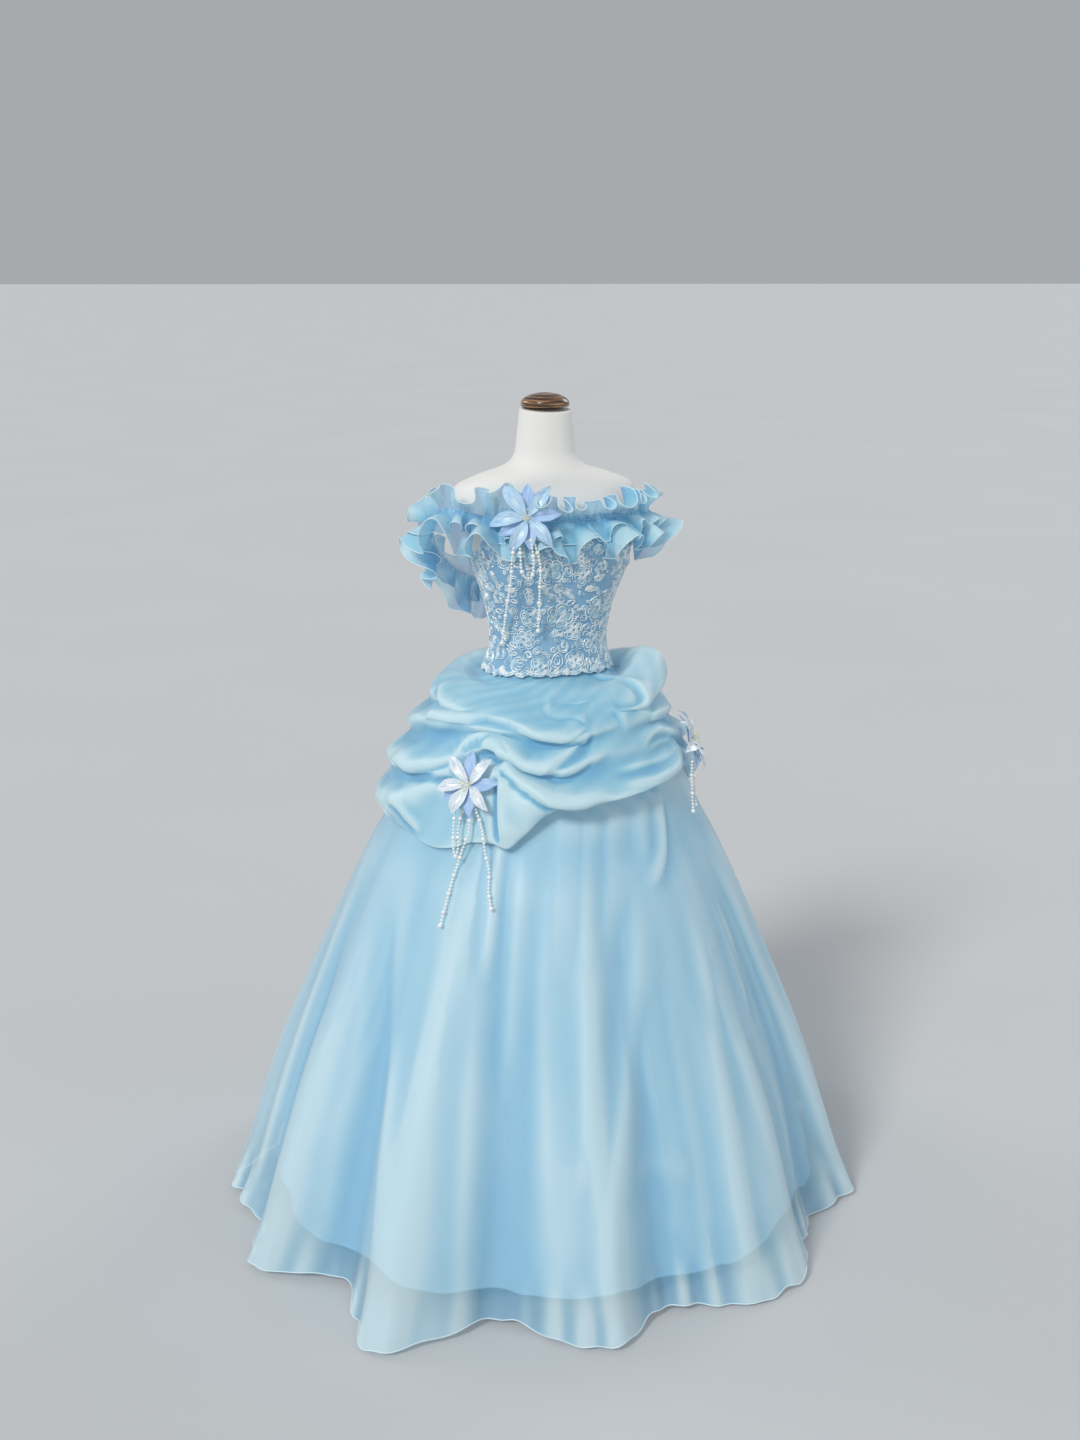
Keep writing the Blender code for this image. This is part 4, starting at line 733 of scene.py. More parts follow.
def make_materials():
    """Every finish of the gown, its form and the floor."""
    made = {
        # Organza: painted shade colour in the folds, plain colour, painted highlight colour on
        # the crests, then opacity.
        "skirt": organza("organza_skirt", (0.28, 0.59, 0.84), (0.43, 0.72, 0.88),
                         (0.66, 0.86, 0.94), 0.56),
        "drape": organza("organza_drape", (0.21, 0.54, 0.81), (0.37, 0.70, 0.87),
                         (0.65, 0.87, 0.94), 0.72),
        "ruffle": organza("organza_ruffle", (0.13, 0.43, 0.74), (0.29, 0.65, 0.86),
                          (0.60, 0.87, 0.95), 0.60),
        # Satin: paler and darker colour of the painted sheen streaks, then roughness.
        "lining": satin("satin_lining", (0.56, 0.80, 0.91), (0.48, 0.74, 0.89), 0.30),
        "satin": satin("satin_bodice", (0.28, 0.51, 0.70), (0.20, 0.40, 0.61), 0.34),
        "hem": Nodes("rolled_hem", (0.72, 0.89, 0.96), 0.42, Sheen_Weight=0.4)
        .paint((900, 2), (0.3, (0.64, 0.84, 0.94)), (0.7, (0.80, 0.94, 0.98)))
        .bump(((1400, 1400, 500), 2), 0.4, 0.0004),
        "form": Nodes("linen_form", (0.83, 0.82, 0.79), 0.82, Sheen_Weight=0.25)
        .paint((6, 2), (0.3, (0.80, 0.79, 0.76)), (0.7, (0.86, 0.85, 0.82)))
        .bump(((1500, 1500, 700), 2), 0.25, 0.0004),
        "wood": Nodes("walnut", (0.05, 0.02, 0.012), 0.28, Coat_Weight=0.5,
                      Coat_Roughness=0.12)
        .paint(((16, 16, 420), 5), (0.36, (0.024, 0.010, 0.006)),
               (0.49, (0.10, 0.042, 0.018)), (0.62, (0.50, 0.27, 0.11)))
        .bump(((40, 40, 900), 3), 0.2, 0.0005),
        "metal": Nodes("painted_steel", (0.10, 0.10, 0.11), 0.42, Metallic=0.6)
        .paint((8, 3), (0.3, 0.36), (0.7, 0.50), socket="Roughness")
        .bump((700, 2), 0.15, 0.0003),
        "cord": Nodes("lace_cord", (0.72, 0.84, 0.93), 0.30, Sheen_Weight=0.4,
                      Metallic=0.20, Specular_IOR_Level=0.6)
        .paint((70, 3), (0.36, (0.36, 0.57, 0.73)), (0.50, (0.70, 0.86, 0.93)),
               (0.62, (0.96, 0.99, 0.99)))
        .bump((1800, 1), 0.5, 0.0005),
        "pad": Nodes("lace_petal", (0.56, 0.72, 0.88), 0.40, Sheen_Weight=0.4)
        .paint((120, 3), (0.35, (0.25, 0.47, 0.64)), (0.7, (0.50, 0.73, 0.83)))
        .bump(((900, 900, 2600), 2), 0.6, 0.0006),
        "sequin": Nodes("sequin", (0.80, 0.88, 0.95), 0.14, Metallic=0.55, Coat_Weight=0.6)
        .paint((420, 1), (0.3, (0.62, 0.76, 0.93)), (0.5, (0.88, 0.93, 0.97)),
               (0.7, (0.86, 0.84, 0.95))),
        "pearl": Nodes("pearl", (0.86, 0.85, 0.79), 0.22, Coat_Weight=0.7,
                       Coat_Roughness=0.10, Sheen_Weight=0.3, Subsurface_Weight=0.15,
                       Subsurface_Scale=0.003)
        .paint((160, 2), (0.3, (0.88, 0.88, 0.85)), (0.7, (0.96, 0.96, 0.93))),
        "lily": Nodes("lily_silver", (0.70, 0.79, 0.90), 0.34, Sheen_Weight=0.4)
        .paint(((700, 45, 1), 3), (0.30, (0.36, 0.55, 0.83)), (0.42, (0.70, 0.82, 0.93)),
               (0.58, (0.91, 0.95, 0.97)), uv=True),
        "lily_chest": Nodes("lily_chest_blue", (0.46, 0.66, 0.90), 0.38, Sheen_Weight=0.4)
        .paint(((600, 40, 1), 3), (0.30, (0.28, 0.52, 0.84)), (0.50, (0.48, 0.71, 0.91)),
               (0.68, (0.78, 0.90, 0.96)), uv=True)
        .paint((1100, 2), (0.45, 0.44), (0.62, 0.20), socket="Roughness"),
        "lily_back": Nodes("lily_periwinkle", (0.24, 0.38, 0.80), 0.46, Sheen_Weight=0.4)
        .paint(((500, 40, 1), 3), (0.34, (0.30, 0.48, 0.82)), (0.66, (0.52, 0.70, 0.92)),
               uv=True)
        .bump((1200, 2), 0.35, 0.0005),
        "gold": Nodes("stamen", (0.80, 0.72, 0.44), 0.40)
        .paint((300, 2), (0.35, (0.55, 0.60, 0.28)), (0.65, (0.92, 0.87, 0.66))),
        "tape": Nodes("zip_tape", (0.27, 0.46, 0.72), 0.62, Sheen_Weight=0.2)
        .paint(((300, 300, 60), 2), (0.3, (0.24, 0.42, 0.68)), (0.7, (0.31, 0.50, 0.76)))
        .bump(((2200, 2200, 500), 1), 0.4, 0.0004),
        "floor": Nodes("pale_floor", (0.62, 0.63, 0.64), 0.85)
        .paint((0.7, 3), (0.3, (0.61, 0.62, 0.63)), (0.7, (0.63, 0.64, 0.65))),
    }
    speck = made["lily"].noise(1100, 2)
    made["lily"].paint(speck, (0.45, 0.42), (0.62, 0.12), socket="Roughness")
    made["lily"].paint(speck, (0.52, 0.0), (0.66, 0.75), socket="Metallic")
    made["lily"].bump(speck, 0.5, 0.0006)
    return {key: nodes.material for key, nodes in made.items()}


materials = make_materials()
sheets = {}     # the gown's sheets of cloth
hems = {}       # the pieces that are sewn to each sheet


# ---------------------------------------------------------------- the dress form
def make_form():
    """Torso with neck, turned cap, pole and round base."""
    turns = np.arange(144) * 2.5
    levels = np.concatenate([
        np.linspace(1.648, NECK_BASE, 12), np.linspace(NECK_BASE, 1.520, 24)[1:],
        np.linspace(1.520, 0.890, 90)[1:], (0.885, 0.880, 0.877, FORM_BOTTOM)])
    rows = [*FORM_RIM, *((level, 0.0) for level in levels)]
    grid = np.array([body_point(turns, level, out) for level, out in rows])
    slant = NECK_SLANT * smooth_step((grid[..., 2] - NECK_BASE) / (NECK_TOP - NECK_BASE))
    grid[..., 2] -= slant * np.cos(np.radians(turns))
    points = np.concatenate([grid.reshape(-1, 3), [[0, 0, NECK_TOP], [0, 0, FORM_BOTTOM]]])
    add_piece("form_torso_cover", "form_linen", "form",
              (points, closed_faces(len(grid), len(turns))), "form_torso")
    add_lathe("form_cap", "dark_wood", "wood", "form_neck_cap", 72, CAP)
    add_lathe("stand_pole", "stand_metal", "metal", "form_pole", 48, POLE)
    add_lathe("stand_foot", "stand_metal", "metal", "form_base", 96, FOOT)


# ---------------------------------------------------------------- folds
def placed(folds):
    """Folds of a table with each path as points of azimuth and height in metres."""
    return [(*fold[:6], np.reshape(fold[6:], (-1, 2)) / DEGREES_MM) for fold in folds]


def smooth_path(points, count):
    """Evenly spaced points on a smooth line through (azimuth, height) points."""
    spots = np.asarray(points, float)
    run = summed(np.hypot(np.diff(spots[:, 0]) * METRES_PER_DEGREE, np.diff(spots[:, 1])))
    return follow(np.linspace(0.0, run[-1], count), run, spots)


def nearest(line, middle, x, z, r):
    """How far points are from a path, on which side of it, and how far along it."""
    best = np.full(x.shape, 9.0)
    side = np.zeros(x.shape)
    along = np.zeros(x.shape)
    last = len(line) - 1
    for k in range(last):
        step_x = math.radians(line[k + 1, 0] - line[k, 0]) * r
        step_z = line[k + 1, 1] - line[k, 1]
        from_x = (x - math.radians(line[k, 0] - middle)) * r
        from_z = z - line[k, 1]
        t = np.clip((from_x * step_x + from_z * step_z)
                    / (step_x ** 2 + step_z ** 2 + 1e-12), 0.0, 1.0)
        far = np.hypot(from_x - t * step_x, from_z - t * step_z)
        nearer = far < best
        best = np.where(nearer, far, best)
        side = np.where(nearer, step_x * from_z - step_z * from_x, side)
        along = np.where(nearer, (k + t) / last, along)
    return best, side, along


def fold_rise(azimuth, height, radius, folds):
    """How far the given folds stand out, in metres, at points of a cloth.

    A fold is broad on the left of its path and drops steeply on the right of it.
    """
    rise = np.zeros(azimuth.shape)
    sink = np.zeros(azimuth.shape)
    for crest, broad, steep, trough, fade_in, fade_out, points in folds:
        line = smooth_path(points, 24)
        reach = FOLD_REACH * max(broad, steep) / 1000.0
        middle = line[:, 0].mean()
        away = wrapped(azimuth - middle)
        margin = np.degrees(reach / np.maximum(radius, 0.1))
        pick = ((away > line[:, 0].min() - middle - margin)
                & (away < line[:, 0].max() - middle + margin)
                & (height > line[:, 1].min() - reach) & (height < line[:, 1].max() + reach))
        if not pick.any():
            continue
        best, side, along = nearest(line, middle, np.radians(away[pick]), height[pick],
                                    radius[pick])
        fade = smooth_step(along / fade_in) * smooth_step((1 - along) / fade_out)
        wide = np.where(side > 0, broad, steep) / 1000.0
        up = crest / 1000.0 * hump(best, 0.0, wide)
        down = trough / 1000.0 * hump(best * 1000.0, TROUGH_AT * steep, TROUGH_WIDE * steep)
        rise[pick] = np.maximum(rise[pick], up * fade)
        sink[pick] = np.maximum(sink[pick], np.where(side > 0, 0.0, down) * fade)
    return rise - sink


def grid_normals(grid):
    """Unit directions out of a closed grid of points, away from the pole."""
    across = np.roll(grid, -1, axis=1) - np.roll(grid, 1, axis=1)
    return unit(np.cross(np.gradient(grid, axis=0), across))


def averaged(rows, wide):
    """Means of this many rows that follow each other."""
    total = np.concatenate([np.zeros_like(rows[:1]), np.cumsum(rows, axis=0)])
    return (total[wide:] - total[:-wide]) / wide


def blurred(grid, reach):
    """A closed grid of points averaged over this many rows and columns each way."""
    wide = 2 * reach + 1
    rows = np.concatenate([np.repeat(grid[:1], reach, 0), grid, np.repeat(grid[-1:], reach, 0)])
    rows = averaged(rows, wide)
    rows = np.concatenate([rows[:, -reach:], rows, rows[:, :reach]], axis=1)
    return averaged(rows.swapaxes(0, 1), wide).swapaxes(0, 1)


def set_fold_shading(thing, grid, reaches):
    """Give each point a painted shading: 0 is painted shade deep in a fold, 0.5 plain cloth, 1 a
    painted highlight on a fold's crest.
    """
    normal = grid_normals(grid)
    tone = np.full(grid.shape[:2], 0.5)
    for reach, height in reaches:
        tone += 0.5 * np.sum((grid - blurred(grid, reach)) * normal, axis=-1) / height
    tone = np.clip(tone, 0.0, 1.0).ravel()
    layer = thing.data.color_attributes.new("tone", "FLOAT_COLOR", "POINT")
    layer.data.foreach_set("color", np.repeat(tone, 4).astype(np.float32))


def azimuth_of(grid):
    """Azimuth of each point."""
    return np.degrees(np.arctan2(grid[..., 0], -grid[..., 1]))


def push_folds(grid, folds, level_only=False):
    """A closed grid of points with its folds raised along its own normals, or level."""
    radius = np.hypot(grid[..., 0], grid[..., 1])
    rise = fold_rise(azimuth_of(grid), grid[..., 2], radius, folds)
    if level_only:
        normal = grid * (1, 1, 0) / radius[..., None]
    else:
        normal = grid_normals(grid)
    return grid + normal * rise[..., None]


def hanging_folds(seed, count, top, low, crest, width):
    """Soft folds that hang all round a long layer, none quite like another."""
    rng = np.random.default_rng(seed)
    folds = []
    for k in range(count):
        at = k * 360.0 / count + rng.uniform(-5.0, 5.0) - 180.0
        start = top + rng.uniform(-0.10, 0.10)
        end = low if rng.uniform() < 0.7 else low + rng.uniform(0.1, 0.35)
        drift = rng.uniform(-4.0, 4.0)
        path = [(at + drift * share + rng.uniform(-1.2, 1.2), start + (end - start) * share)
                for share in (0.0, 0.3, 0.6, 1.0)]
        tall = crest * rng.uniform(0.5, 1.25)
        folds.append((tall, width * rng.uniform(0.7, 1.5), width * rng.uniform(0.5, 1.0),
                      tall * 0.45, 0.45, 0.001 if end == low else 0.35, path))
    return folds


# ---------------------------------------------------------------- the long layers
def long_layer(layer, count, levels, folds, ripple, ripple_top, ripple_fade, curl=None,
               frill=None):
    """Grid of a long layer; ripple, curl and frill are each a size, a seed and waves.

    The ripple fades in below ripple_top. Curl and frill move the very hem out and up.
    """
    turns = np.arange(count) * 360.0 / count
    wave = 0.5 + 0.5 * np.cos(np.radians(turns * HEM_WAVES))
    soft, curled, frilled = (0.0 if way is None else way[0] * wander(turns, *way[1:])
                             for way in (ripple, curl, frill))
    rows = []
    for level in levels:
        lift = HEM_LIFT * max(0.0, 1 - level / HEM_LIFT_REACH)
        low = smooth_step(1 - (level - LAYER_HEM[ORGANZA]) / HEM_CURL_REACH)
        out = soft * smooth_step((ripple_top - level) / ripple_fade) + low * curled
        rows.append(skirt_point(turns, level + lift * wave + low * frilled, layer, out))
    return push_folds(np.array(rows), folds, True)


def make_skirt():
    """Satin lining and the long organza layer, with its hem."""
    grid = long_layer(LINING, 540,
                      np.linspace(LAYER_TOP[LINING], LAYER_HEM[LINING], 66),
                      ripple=(0.0030, 3, (17, 23, 31)), ripple_top=0.9, ripple_fade=0.7,
                      folds=hanging_folds(14, 34, top=0.80, low=0.0, crest=6, width=20))
    add_cloth("lining", "lining_satin_skirt", "lining_satin", "lining", grid, True,
              "lining_front", "lining_back")
    levels = np.concatenate([np.linspace(LAYER_TOP[ORGANZA], HEM_LIFT_REACH, 118)[:-1],
                             np.linspace(HEM_LIFT_REACH, LAYER_HEM[ORGANZA], 20)])
    soft = hanging_folds(27, 30, top=0.78, low=-0.01, crest=5, width=26)
    grid = long_layer(ORGANZA, 660, levels, placed(SKIRT_FOLDS) + soft,
                      ripple=(0.0024, 8, (19, 29, 41)), ripple_top=0.95, ripple_fade=0.8,
                      curl=(0.0045, 5, (37, 53, 61, 74)), frill=(0.003, 6, (45, 59, 68)))
    skirt = add_cloth("skirt", "organza_long_skirt", "skirt_organza", "skirt", grid, True,
                      "skirt_front", "skirt_back")
    # Painted shade in the skirt's folds and painted highlight on their crests.
    set_fold_shading(skirt, grid, ((4, 0.0030), (16, 0.020)))
    hems["skirt"].append(add_piece("organza_skirt_hem", "skirt_organza", "hem",
                                   tubes(grid[-1:], SKIRT_HEM, 5, closed=True)))


# ---------------------------------------------------------------- the picked-up drape
def spline_rows(rows, count):
    """More rows on a smooth line through the rows given."""
    spots = np.linspace(0, len(rows) - 1, count)
    k = np.clip(spots.astype(int), 0, len(rows) - 2)
    u = (spots - k)[:, None, None]
    a = rows[np.maximum(k - 1, 0)]
    b = rows[k]
    c = rows[k + 1]
    d = rows[np.minimum(k + 2, len(rows) - 1)]
    return 0.5 * (2 * b + (c - a) * u + (2 * a - 5 * b + 4 * c - d) * u ** 2
                  + (3 * b - a - 3 * c + d) * u ** 3)


def drape_rows(azimuths):
    """Main rows of the drape, from the waist to its turned-under lower edge."""
    azimuths = wrapped(azimuths)
    lift = around(azimuths, PUFFS, 1)
    stand = around(azimuths, PUFFS, 2)
    rows = [body_point(azimuths, level, out) for level, out in DRAPE_WAIST_ROWS]
    for radius, height, share, oval, out in DRAPE_PUFF_ROWS:
        level = height + lift * share
        near = body_point(azimuths, DRAPE_TOP, out)
        near[:, 2] = level
        free = round_point(azimuths, radius + stand * share, level)
        rows.append(near * oval + free * (1 - oval))
    upper = rows[-1][:, 2]
    for fold in MAIN_FOLDS:
        crest, rise = around(azimuths, fold, 1), around(azimuths, fold, 2)
        gap = upper - crest
        depth = np.minimum(HOLLOW_DEPTH, gap * HOLLOW_MOST) * np.clip(rise / FULL_FOLD, 0.0, 1.0)
        for level, out in ((upper - gap * HOLLOW_SHARE, -depth), (crest, rise)):
            plain = curve(level, *DRAPE_LOWER) + flute(azimuths, level)
            rows.append(round_point(azimuths, plain + out, level))
        upper = crest
    first, last = SLOPE_ROWS
    plain = between(azimuths, *PLAIN_SLOPE)[:, None]
    for k in range(first + 1, last):
        share = (k - first) / (last - first)
        straight = rows[first] * (1 - share) + rows[last] * share
        straight[:, 2] += SLOPE_BULGE * math.sin(math.pi * share)
        rows[k] = rows[k] * (1 - plain) + straight * plain
    edge = around(azimuths, DRAPE_EDGE, 1)
    cloth = skirt_point(azimuths, edge, ORGANZA)
    radius = np.hypot(cloth[:, 0], cloth[:, 1]) + EDGE_TUCK
    step = around(azimuths, DRAPE_EDGE, 2)
    step = step * (1 - FLAT_EDGE * between(azimuths, *FLAT_EDGE_TURNS))
    rows.append(round_point(azimuths, radius + step, edge + 0.006))
    rows.append(round_point(azimuths, radius, edge - 0.001))
    return np.array(rows)


def make_drape():
    """Organza caught up into puffs and folds."""
    turns = np.arange(DRAPE_COLUMNS) * (360.0 / DRAPE_COLUMNS)
    grid = spline_rows(drape_rows(turns), DRAPE_LEVELS)
    tier = np.linspace(0.0, 1.0, len(grid))[:, None]
    held = smooth_step(tier / 0.12) * smooth_step((1 - tier) / 0.05)
    soft = DRAPE_RIPPLE * wander(azimuth_of(grid) + 160.0 * tier, 61, (9, 14, 23))
    folded = push_folds(grid, placed(DRAPE_FOLDS))
    moved = folded - grid + grid_normals(grid) * soft[..., None]
    grid = grid + moved * held[..., None]
    drape = add_cloth("drape", "organza_drape", "skirt_organza", "drape", grid, True,
                      "drape_front", "drape_back")
    # Painted shade in the drape's folds and painted highlight on their crests.
    set_fold_shading(drape, grid, ((2, 0.0012), (10, 0.017)))


# ---------------------------------------------------------------- the ruffles
def ruffle_frames():
    """Places along the sewing line, their directions along, out and up, and their turns."""
    turns = np.linspace(-180.0, 180.0, 2881)
    stand = around(turns, RUFFLE_LINE, 2)
    line = body_point(turns, around(turns, RUFFLE_LINE, 1), SATIN_FACE + stand)
    run = run_along(line)
    spot = np.arange(RUFFLE_COLUMNS) / RUFFLE_COLUMNS * run[-1]
    place = follow(spot, run, line, np.interp)
    tangent = unit(sum(np.roll(place, -k, axis=0) - np.roll(place, k, axis=0)
                       for k in range(1, TANGENT_REACH + 1)))
    outward = unit(np.cross(tangent, (0.0, 0.0, 1.0)))
    upward = unit(np.cross(outward, tangent) + (0.0, 0.0, RUFFLE_HANG))
    return place, tangent, outward, upward, np.interp(spot, run, turns)


def ruffle_sheet(alongs, frames, seed, shift, upward_form, downward_form, base):
    """Grid of a gathered frill: alongs are distances from the sewing line in millimetres.

    The cloth springs out from the line in waves that grow and wander, then hangs down.
    """
    place, tangent, outward, upward, turn = frames
    round_it = np.arange(len(turn)) * 360.0 / len(turn)
    fewer = FEWER_WAVES * smooth_step((turn - FEWER_FROM) / FEWER_OVER)
    strong = np.clip(1.0 + STRENGTH_WANDER * wander(round_it, seed + 1, (5, 8, 13, 17)),
                     WEAKEST, STRONGEST)
    uneven = wander(round_it, seed + 2, (5, 8, 13, 19))
    slant = wander(round_it, seed + 3, (7, 12, 17))
    pressed = 1 - PRESSED_SHARE * hump(wrapped(turn - PRESSED_TURN), 0.0, PRESSED_SPREAD)
    lobe = LOBE_SHARE * hump(turn, LOBE_TURN, LOBE_SPREAD)
    rows = {}
    for way, form in ((1.0, upward_form), (-1.0, downward_form)):
        sizes = sorted(abs(along) for along in alongs if along * way >= 0)
        if not any(sizes):
            continue
        phase = (np.radians(round_it * form["waves"] + shift) - 2 * math.pi * fewer
                 + PHASE_WANDER * wander(round_it, seed + form["waves"], (3, 5, 9, 14)))
        free = pressed if way < 0 else 1 - 0.4 * (1 - pressed)
        longer = 1.0 + form["uneven"] * uneven * (1 - lobe) + (lobe if way > 0 else 0.0)
        upright = 1 - 1.1 * lobe if way > 0 else 1.0
        out = rise = before = 0.0
        for size in sizes:
            share = size / sizes[-1]
            half = (size + before) / 2 / sizes[-1]
            bend = phase + 0.9 * share * slant
            spring = half ** 0.5 * (1 - form["hang"] * half)
            lean = np.radians(form["lean"] * (0.4 + 0.6 * min(1.0, 3 * half)) * upright
                              * (1 - 0.35 * form["hang"] * half) * (0.5 + 0.5 * free)
                              + form["swing"] * spring * strong * np.cos(bend) * free * upright)
            step = (size - before) * (1 + (longer - 1) * min(1.0, 2 * half))
            out = out + step * np.sin(lean)
            rise = rise + step * np.cos(lean)
            before = size
            pucker = 1.5 * np.cos(3 * phase + 1.0) + 0.9 * np.cos(5 * phase + 2.0 * slant)
            pucker = pucker * (1 - share) ** 1.5 * min(1.0, size / 3.0)
            frill = 0.9 * share ** 3 * np.cos(3 * bend + 0.7)
            slide = form["curl"] * share ** 1.3 * np.sin(2 * bend) * strong * free * upright
            spot = (place + upward * (way * rise / 1000.0)[:, None]
                    + outward * ((base + out + pucker + frill) / 1000.0)[:, None]
                    + tangent * (slide / 1000.0)[:, None])
            surface = body_point(turn, spot[:, 2],
                                 SATIN_FACE + EDGE_CLEAR * share + base / 1000.0)
            deep = np.sum((surface - spot) * outward, axis=1)
            push = (deep + np.sqrt(deep ** 2 + (0.0016 * share) ** 2)) / 2
            rows[way * size] = spot + outward * push[:, None]
    return np.array([rows[along] for along in sorted(rows, reverse=True)])


def make_ruffles():
    """Upper double-edged tier and the under tier, with rolled edges and gathering stitches."""
    frames = ruffle_frames()
    tiers = (
        # name, from, to, rows, seed, shift, way up, way down, base, free edges
        ("upper", 46.0, -44.0, 31, 11, 0.0, UPPER_TOP, UPPER_LOW, 3.8, (0, -1)),
        ("under", 0.0, -76.0, 25, 31, 140.0, UNDER_LOW, UNDER_LOW, 1.9, (-1,)),
    )
    for name, high, low, count, seed, shift, up, down, base, edges in tiers:
        grid = ruffle_sheet(np.linspace(high, low, count), frames, seed, shift, up, down, base)
        nodes = ["ruffle_" + name + "_" + part
                 for part in ("front", "sleeve_left", "back", "sleeve_right")]
        tier = add_cloth(name, "ruffle_" + name + "_tier", "ruffle_organza", "ruffle", grid,
                         True, *nodes)
        # Painted shade in the frills' folds and painted highlight on their crests.
        set_fold_shading(tier, grid, ((8, 0.0065), (2, 0.0022)))
        edge = tubes([grid[k] for k in edges], RUFFLE_EDGE, 5, closed=True)
        hems[name].append(add_piece("ruffle_" + name + "_edge", "ruffle_organza", "hem", edge))
    line = frames[0] + frames[2] * 0.0046
    dashes = [line[k:k + 4] for k in range(0, len(line) - 4, 6)]
    add_piece("ruffle_gathering_stitches", "ruffle_organza", "hem", tubes(dashes, STITCH, 5))


# ---------------------------------------------------------------- the bodice
def make_bodice():
    """Satin bodice as a wall with turned edges."""
    turns = np.linspace(-179.0, 179.0, 270)
    top = bodice_top(turns)
    bottom = bodice_bottom(turns)
    inside = -SATIN_WALL + 0.0003
    rows = [(top - 0.0008, inside), (top, -SATIN_WALL / 2)]
    rows += [(top - 0.0006 + (bottom + 0.0012 - top) * share, 0.0)
             for share in np.linspace(0.0, 1.0, 70)]
    rows += [(bottom, -SATIN_WALL / 2), (bottom + 0.0012, inside)]
    grid = np.array([bodice_point(turns, height, out) for height, out in rows])
    add_cloth("bodice", "bodice_satin", "lace_over_satin", "satin", grid, False,
              "bodice_front", "bodice_back_left", "bodice_back_right")


# ---------------------------------------------------------------- the lace
CORD_HALF, CORD_TALL, PAD_TALL, BEAD = 0.0012, 0.0030, 0.0011, 0.0012
SEQUIN = (0.0023, 0.0023, 0.0005)
ZIP_CLEAR = 0.0075      # no motif's centre is nearer to the zip than this
MOTIF_GAP = 0.90        # least distance between two motifs, in sums of their radii
LACE_SIZES = (
    # radius in millimetres, how many at most
    (28.0, 18), (22.0, 30), (16.5, 54), (12.5, 80), (9.5, 120), (7.0, 170), (5.0, 170),
    (3.6, 120),
)
BARE_SATIN = (
    # azimuth, height, radius in millimetres
    (34.0, 1.322, 17.0), (-14.0, 1.205, 13.0), (-58.0, 1.255, 12.0), (12.0, 1.290, 10.0),
    (75.0, 1.230, 15.0), (-100.0, 1.210, 16.0), (130.0, 1.215, 14.0), (-140.0, 1.250, 14.0),
)


def turned(angle):
    """Direction at an angle in radians, on the flat."""
    return np.stack([np.cos(angle), np.sin(angle)], -1)


def laid(start, way, along, across):
    """Points along and across a way from a start, on the flat."""
    c, s = math.cos(way), math.sin(way)
    return np.stack([start[0] + along * c - across * s, start[1] + along * s + across * c], -1)


def loop(centre, turn, length, width, count=13):
    """Closed petal-shaped loop that starts at a centre and points along a turn."""
    t = np.linspace(0.0, 1.0, count)
    along = length * (1 - np.cos(2 * math.pi * t)) / 2
    across = width * np.sin(2 * math.pi * t) * (0.75 + 0.5 * along / length)
    return laid(centre, turn, along, across)


def lace_flower(rng):
    """Corded flower: petals with inner loops, a ring in the middle, and padded petals."""
    count = int(rng.integers(5, 7))
    first = rng.uniform(0, 6)
    paths = []
    pads = []
    for k in range(count):
        turn = first + k * 2 * math.pi / count + rng.uniform(-0.08, 0.08)
        start = 0.24 * turned(turn)
        long = 0.76 * rng.uniform(0.86, 1.02)
        wide = 0.40 * rng.uniform(0.9, 1.05) * (5.5 / count)
        paths.append(loop(start, turn, long, wide))
        paths.append(loop(start * 1.25, turn, long * 0.66, wide * 0.55, 9))
        if rng.uniform() < 0.6:
            pads.append((start, turn, long * 0.92, wide * 0.80))
    paths.append(0.20 * turned(np.linspace(0, 2 * math.pi, 9)))
    return paths, pads


def lace_spray(rng):
    """Curved stem with a row of slim leaves on each side."""
    turn = rng.uniform(0, 2 * math.pi)
    sweep = rng.uniform(0.5, 1.0) * rng.choice((-1, 1))
    heading = turn + sweep * (np.linspace(0.0, 1.0, 12) - 0.5)
    steps = turned(heading) * (1.9 / 11)
    stem = np.cumsum(steps, axis=0) - steps.sum(axis=0) / 2
    paths = [stem]
    pads = []
    for k in range(2, 12, 2):
        for side in (-1, 1):
            lean = heading[k] + side * rng.uniform(0.55, 0.85)
            long = 0.62 * (1 - 0.45 * k / 11) * rng.uniform(0.85, 1.1)
            paths.append(loop(stem[k - 1], lean, long, long * 0.20, 9))
            if rng.uniform() < 0.35:
                pads.append((stem[k - 1], lean, long * 0.95, long * 0.17))
    paths.append(loop(stem[-1], heading[-1], 0.34, 0.10, 9))
    return paths, pads


def lace_scroll(rng):
    """Double spiral scroll with a few buds."""
    turn = rng.uniform(0, 2 * math.pi)
    hand = rng.choice((-1, 1))
    t = np.linspace(0.0, 1.0, 22)
    angle = turn + hand * t * 2 * math.pi * 1.35
    outer = (0.14 + 0.82 * t)[:, None] * turned(angle)
    paths = [outer, outer * np.linspace(0.55, 0.80, 22)[:, None]]
    paths += [loop(outer[k] * 0.82, angle[k] + hand * 0.9, 0.36, 0.11, 9) for k in (8, 13, 18)]
    return paths, [(outer[0] * 0.4, turn, 0.40, 0.16)]


def lace_drop(rng):
    """Paisley drop inside a drop."""
    turn = rng.uniform(0, 2 * math.pi)
    start = -0.92 * turned(turn)
    paths = [loop(start, turn, 1.84, 0.66, 15), loop(start * 0.62, turn, 1.12, 0.34, 11)]
    pads = [(start * 0.5, turn, 0.90, 0.24)] if rng.uniform() < 0.6 else []
    return paths, pads


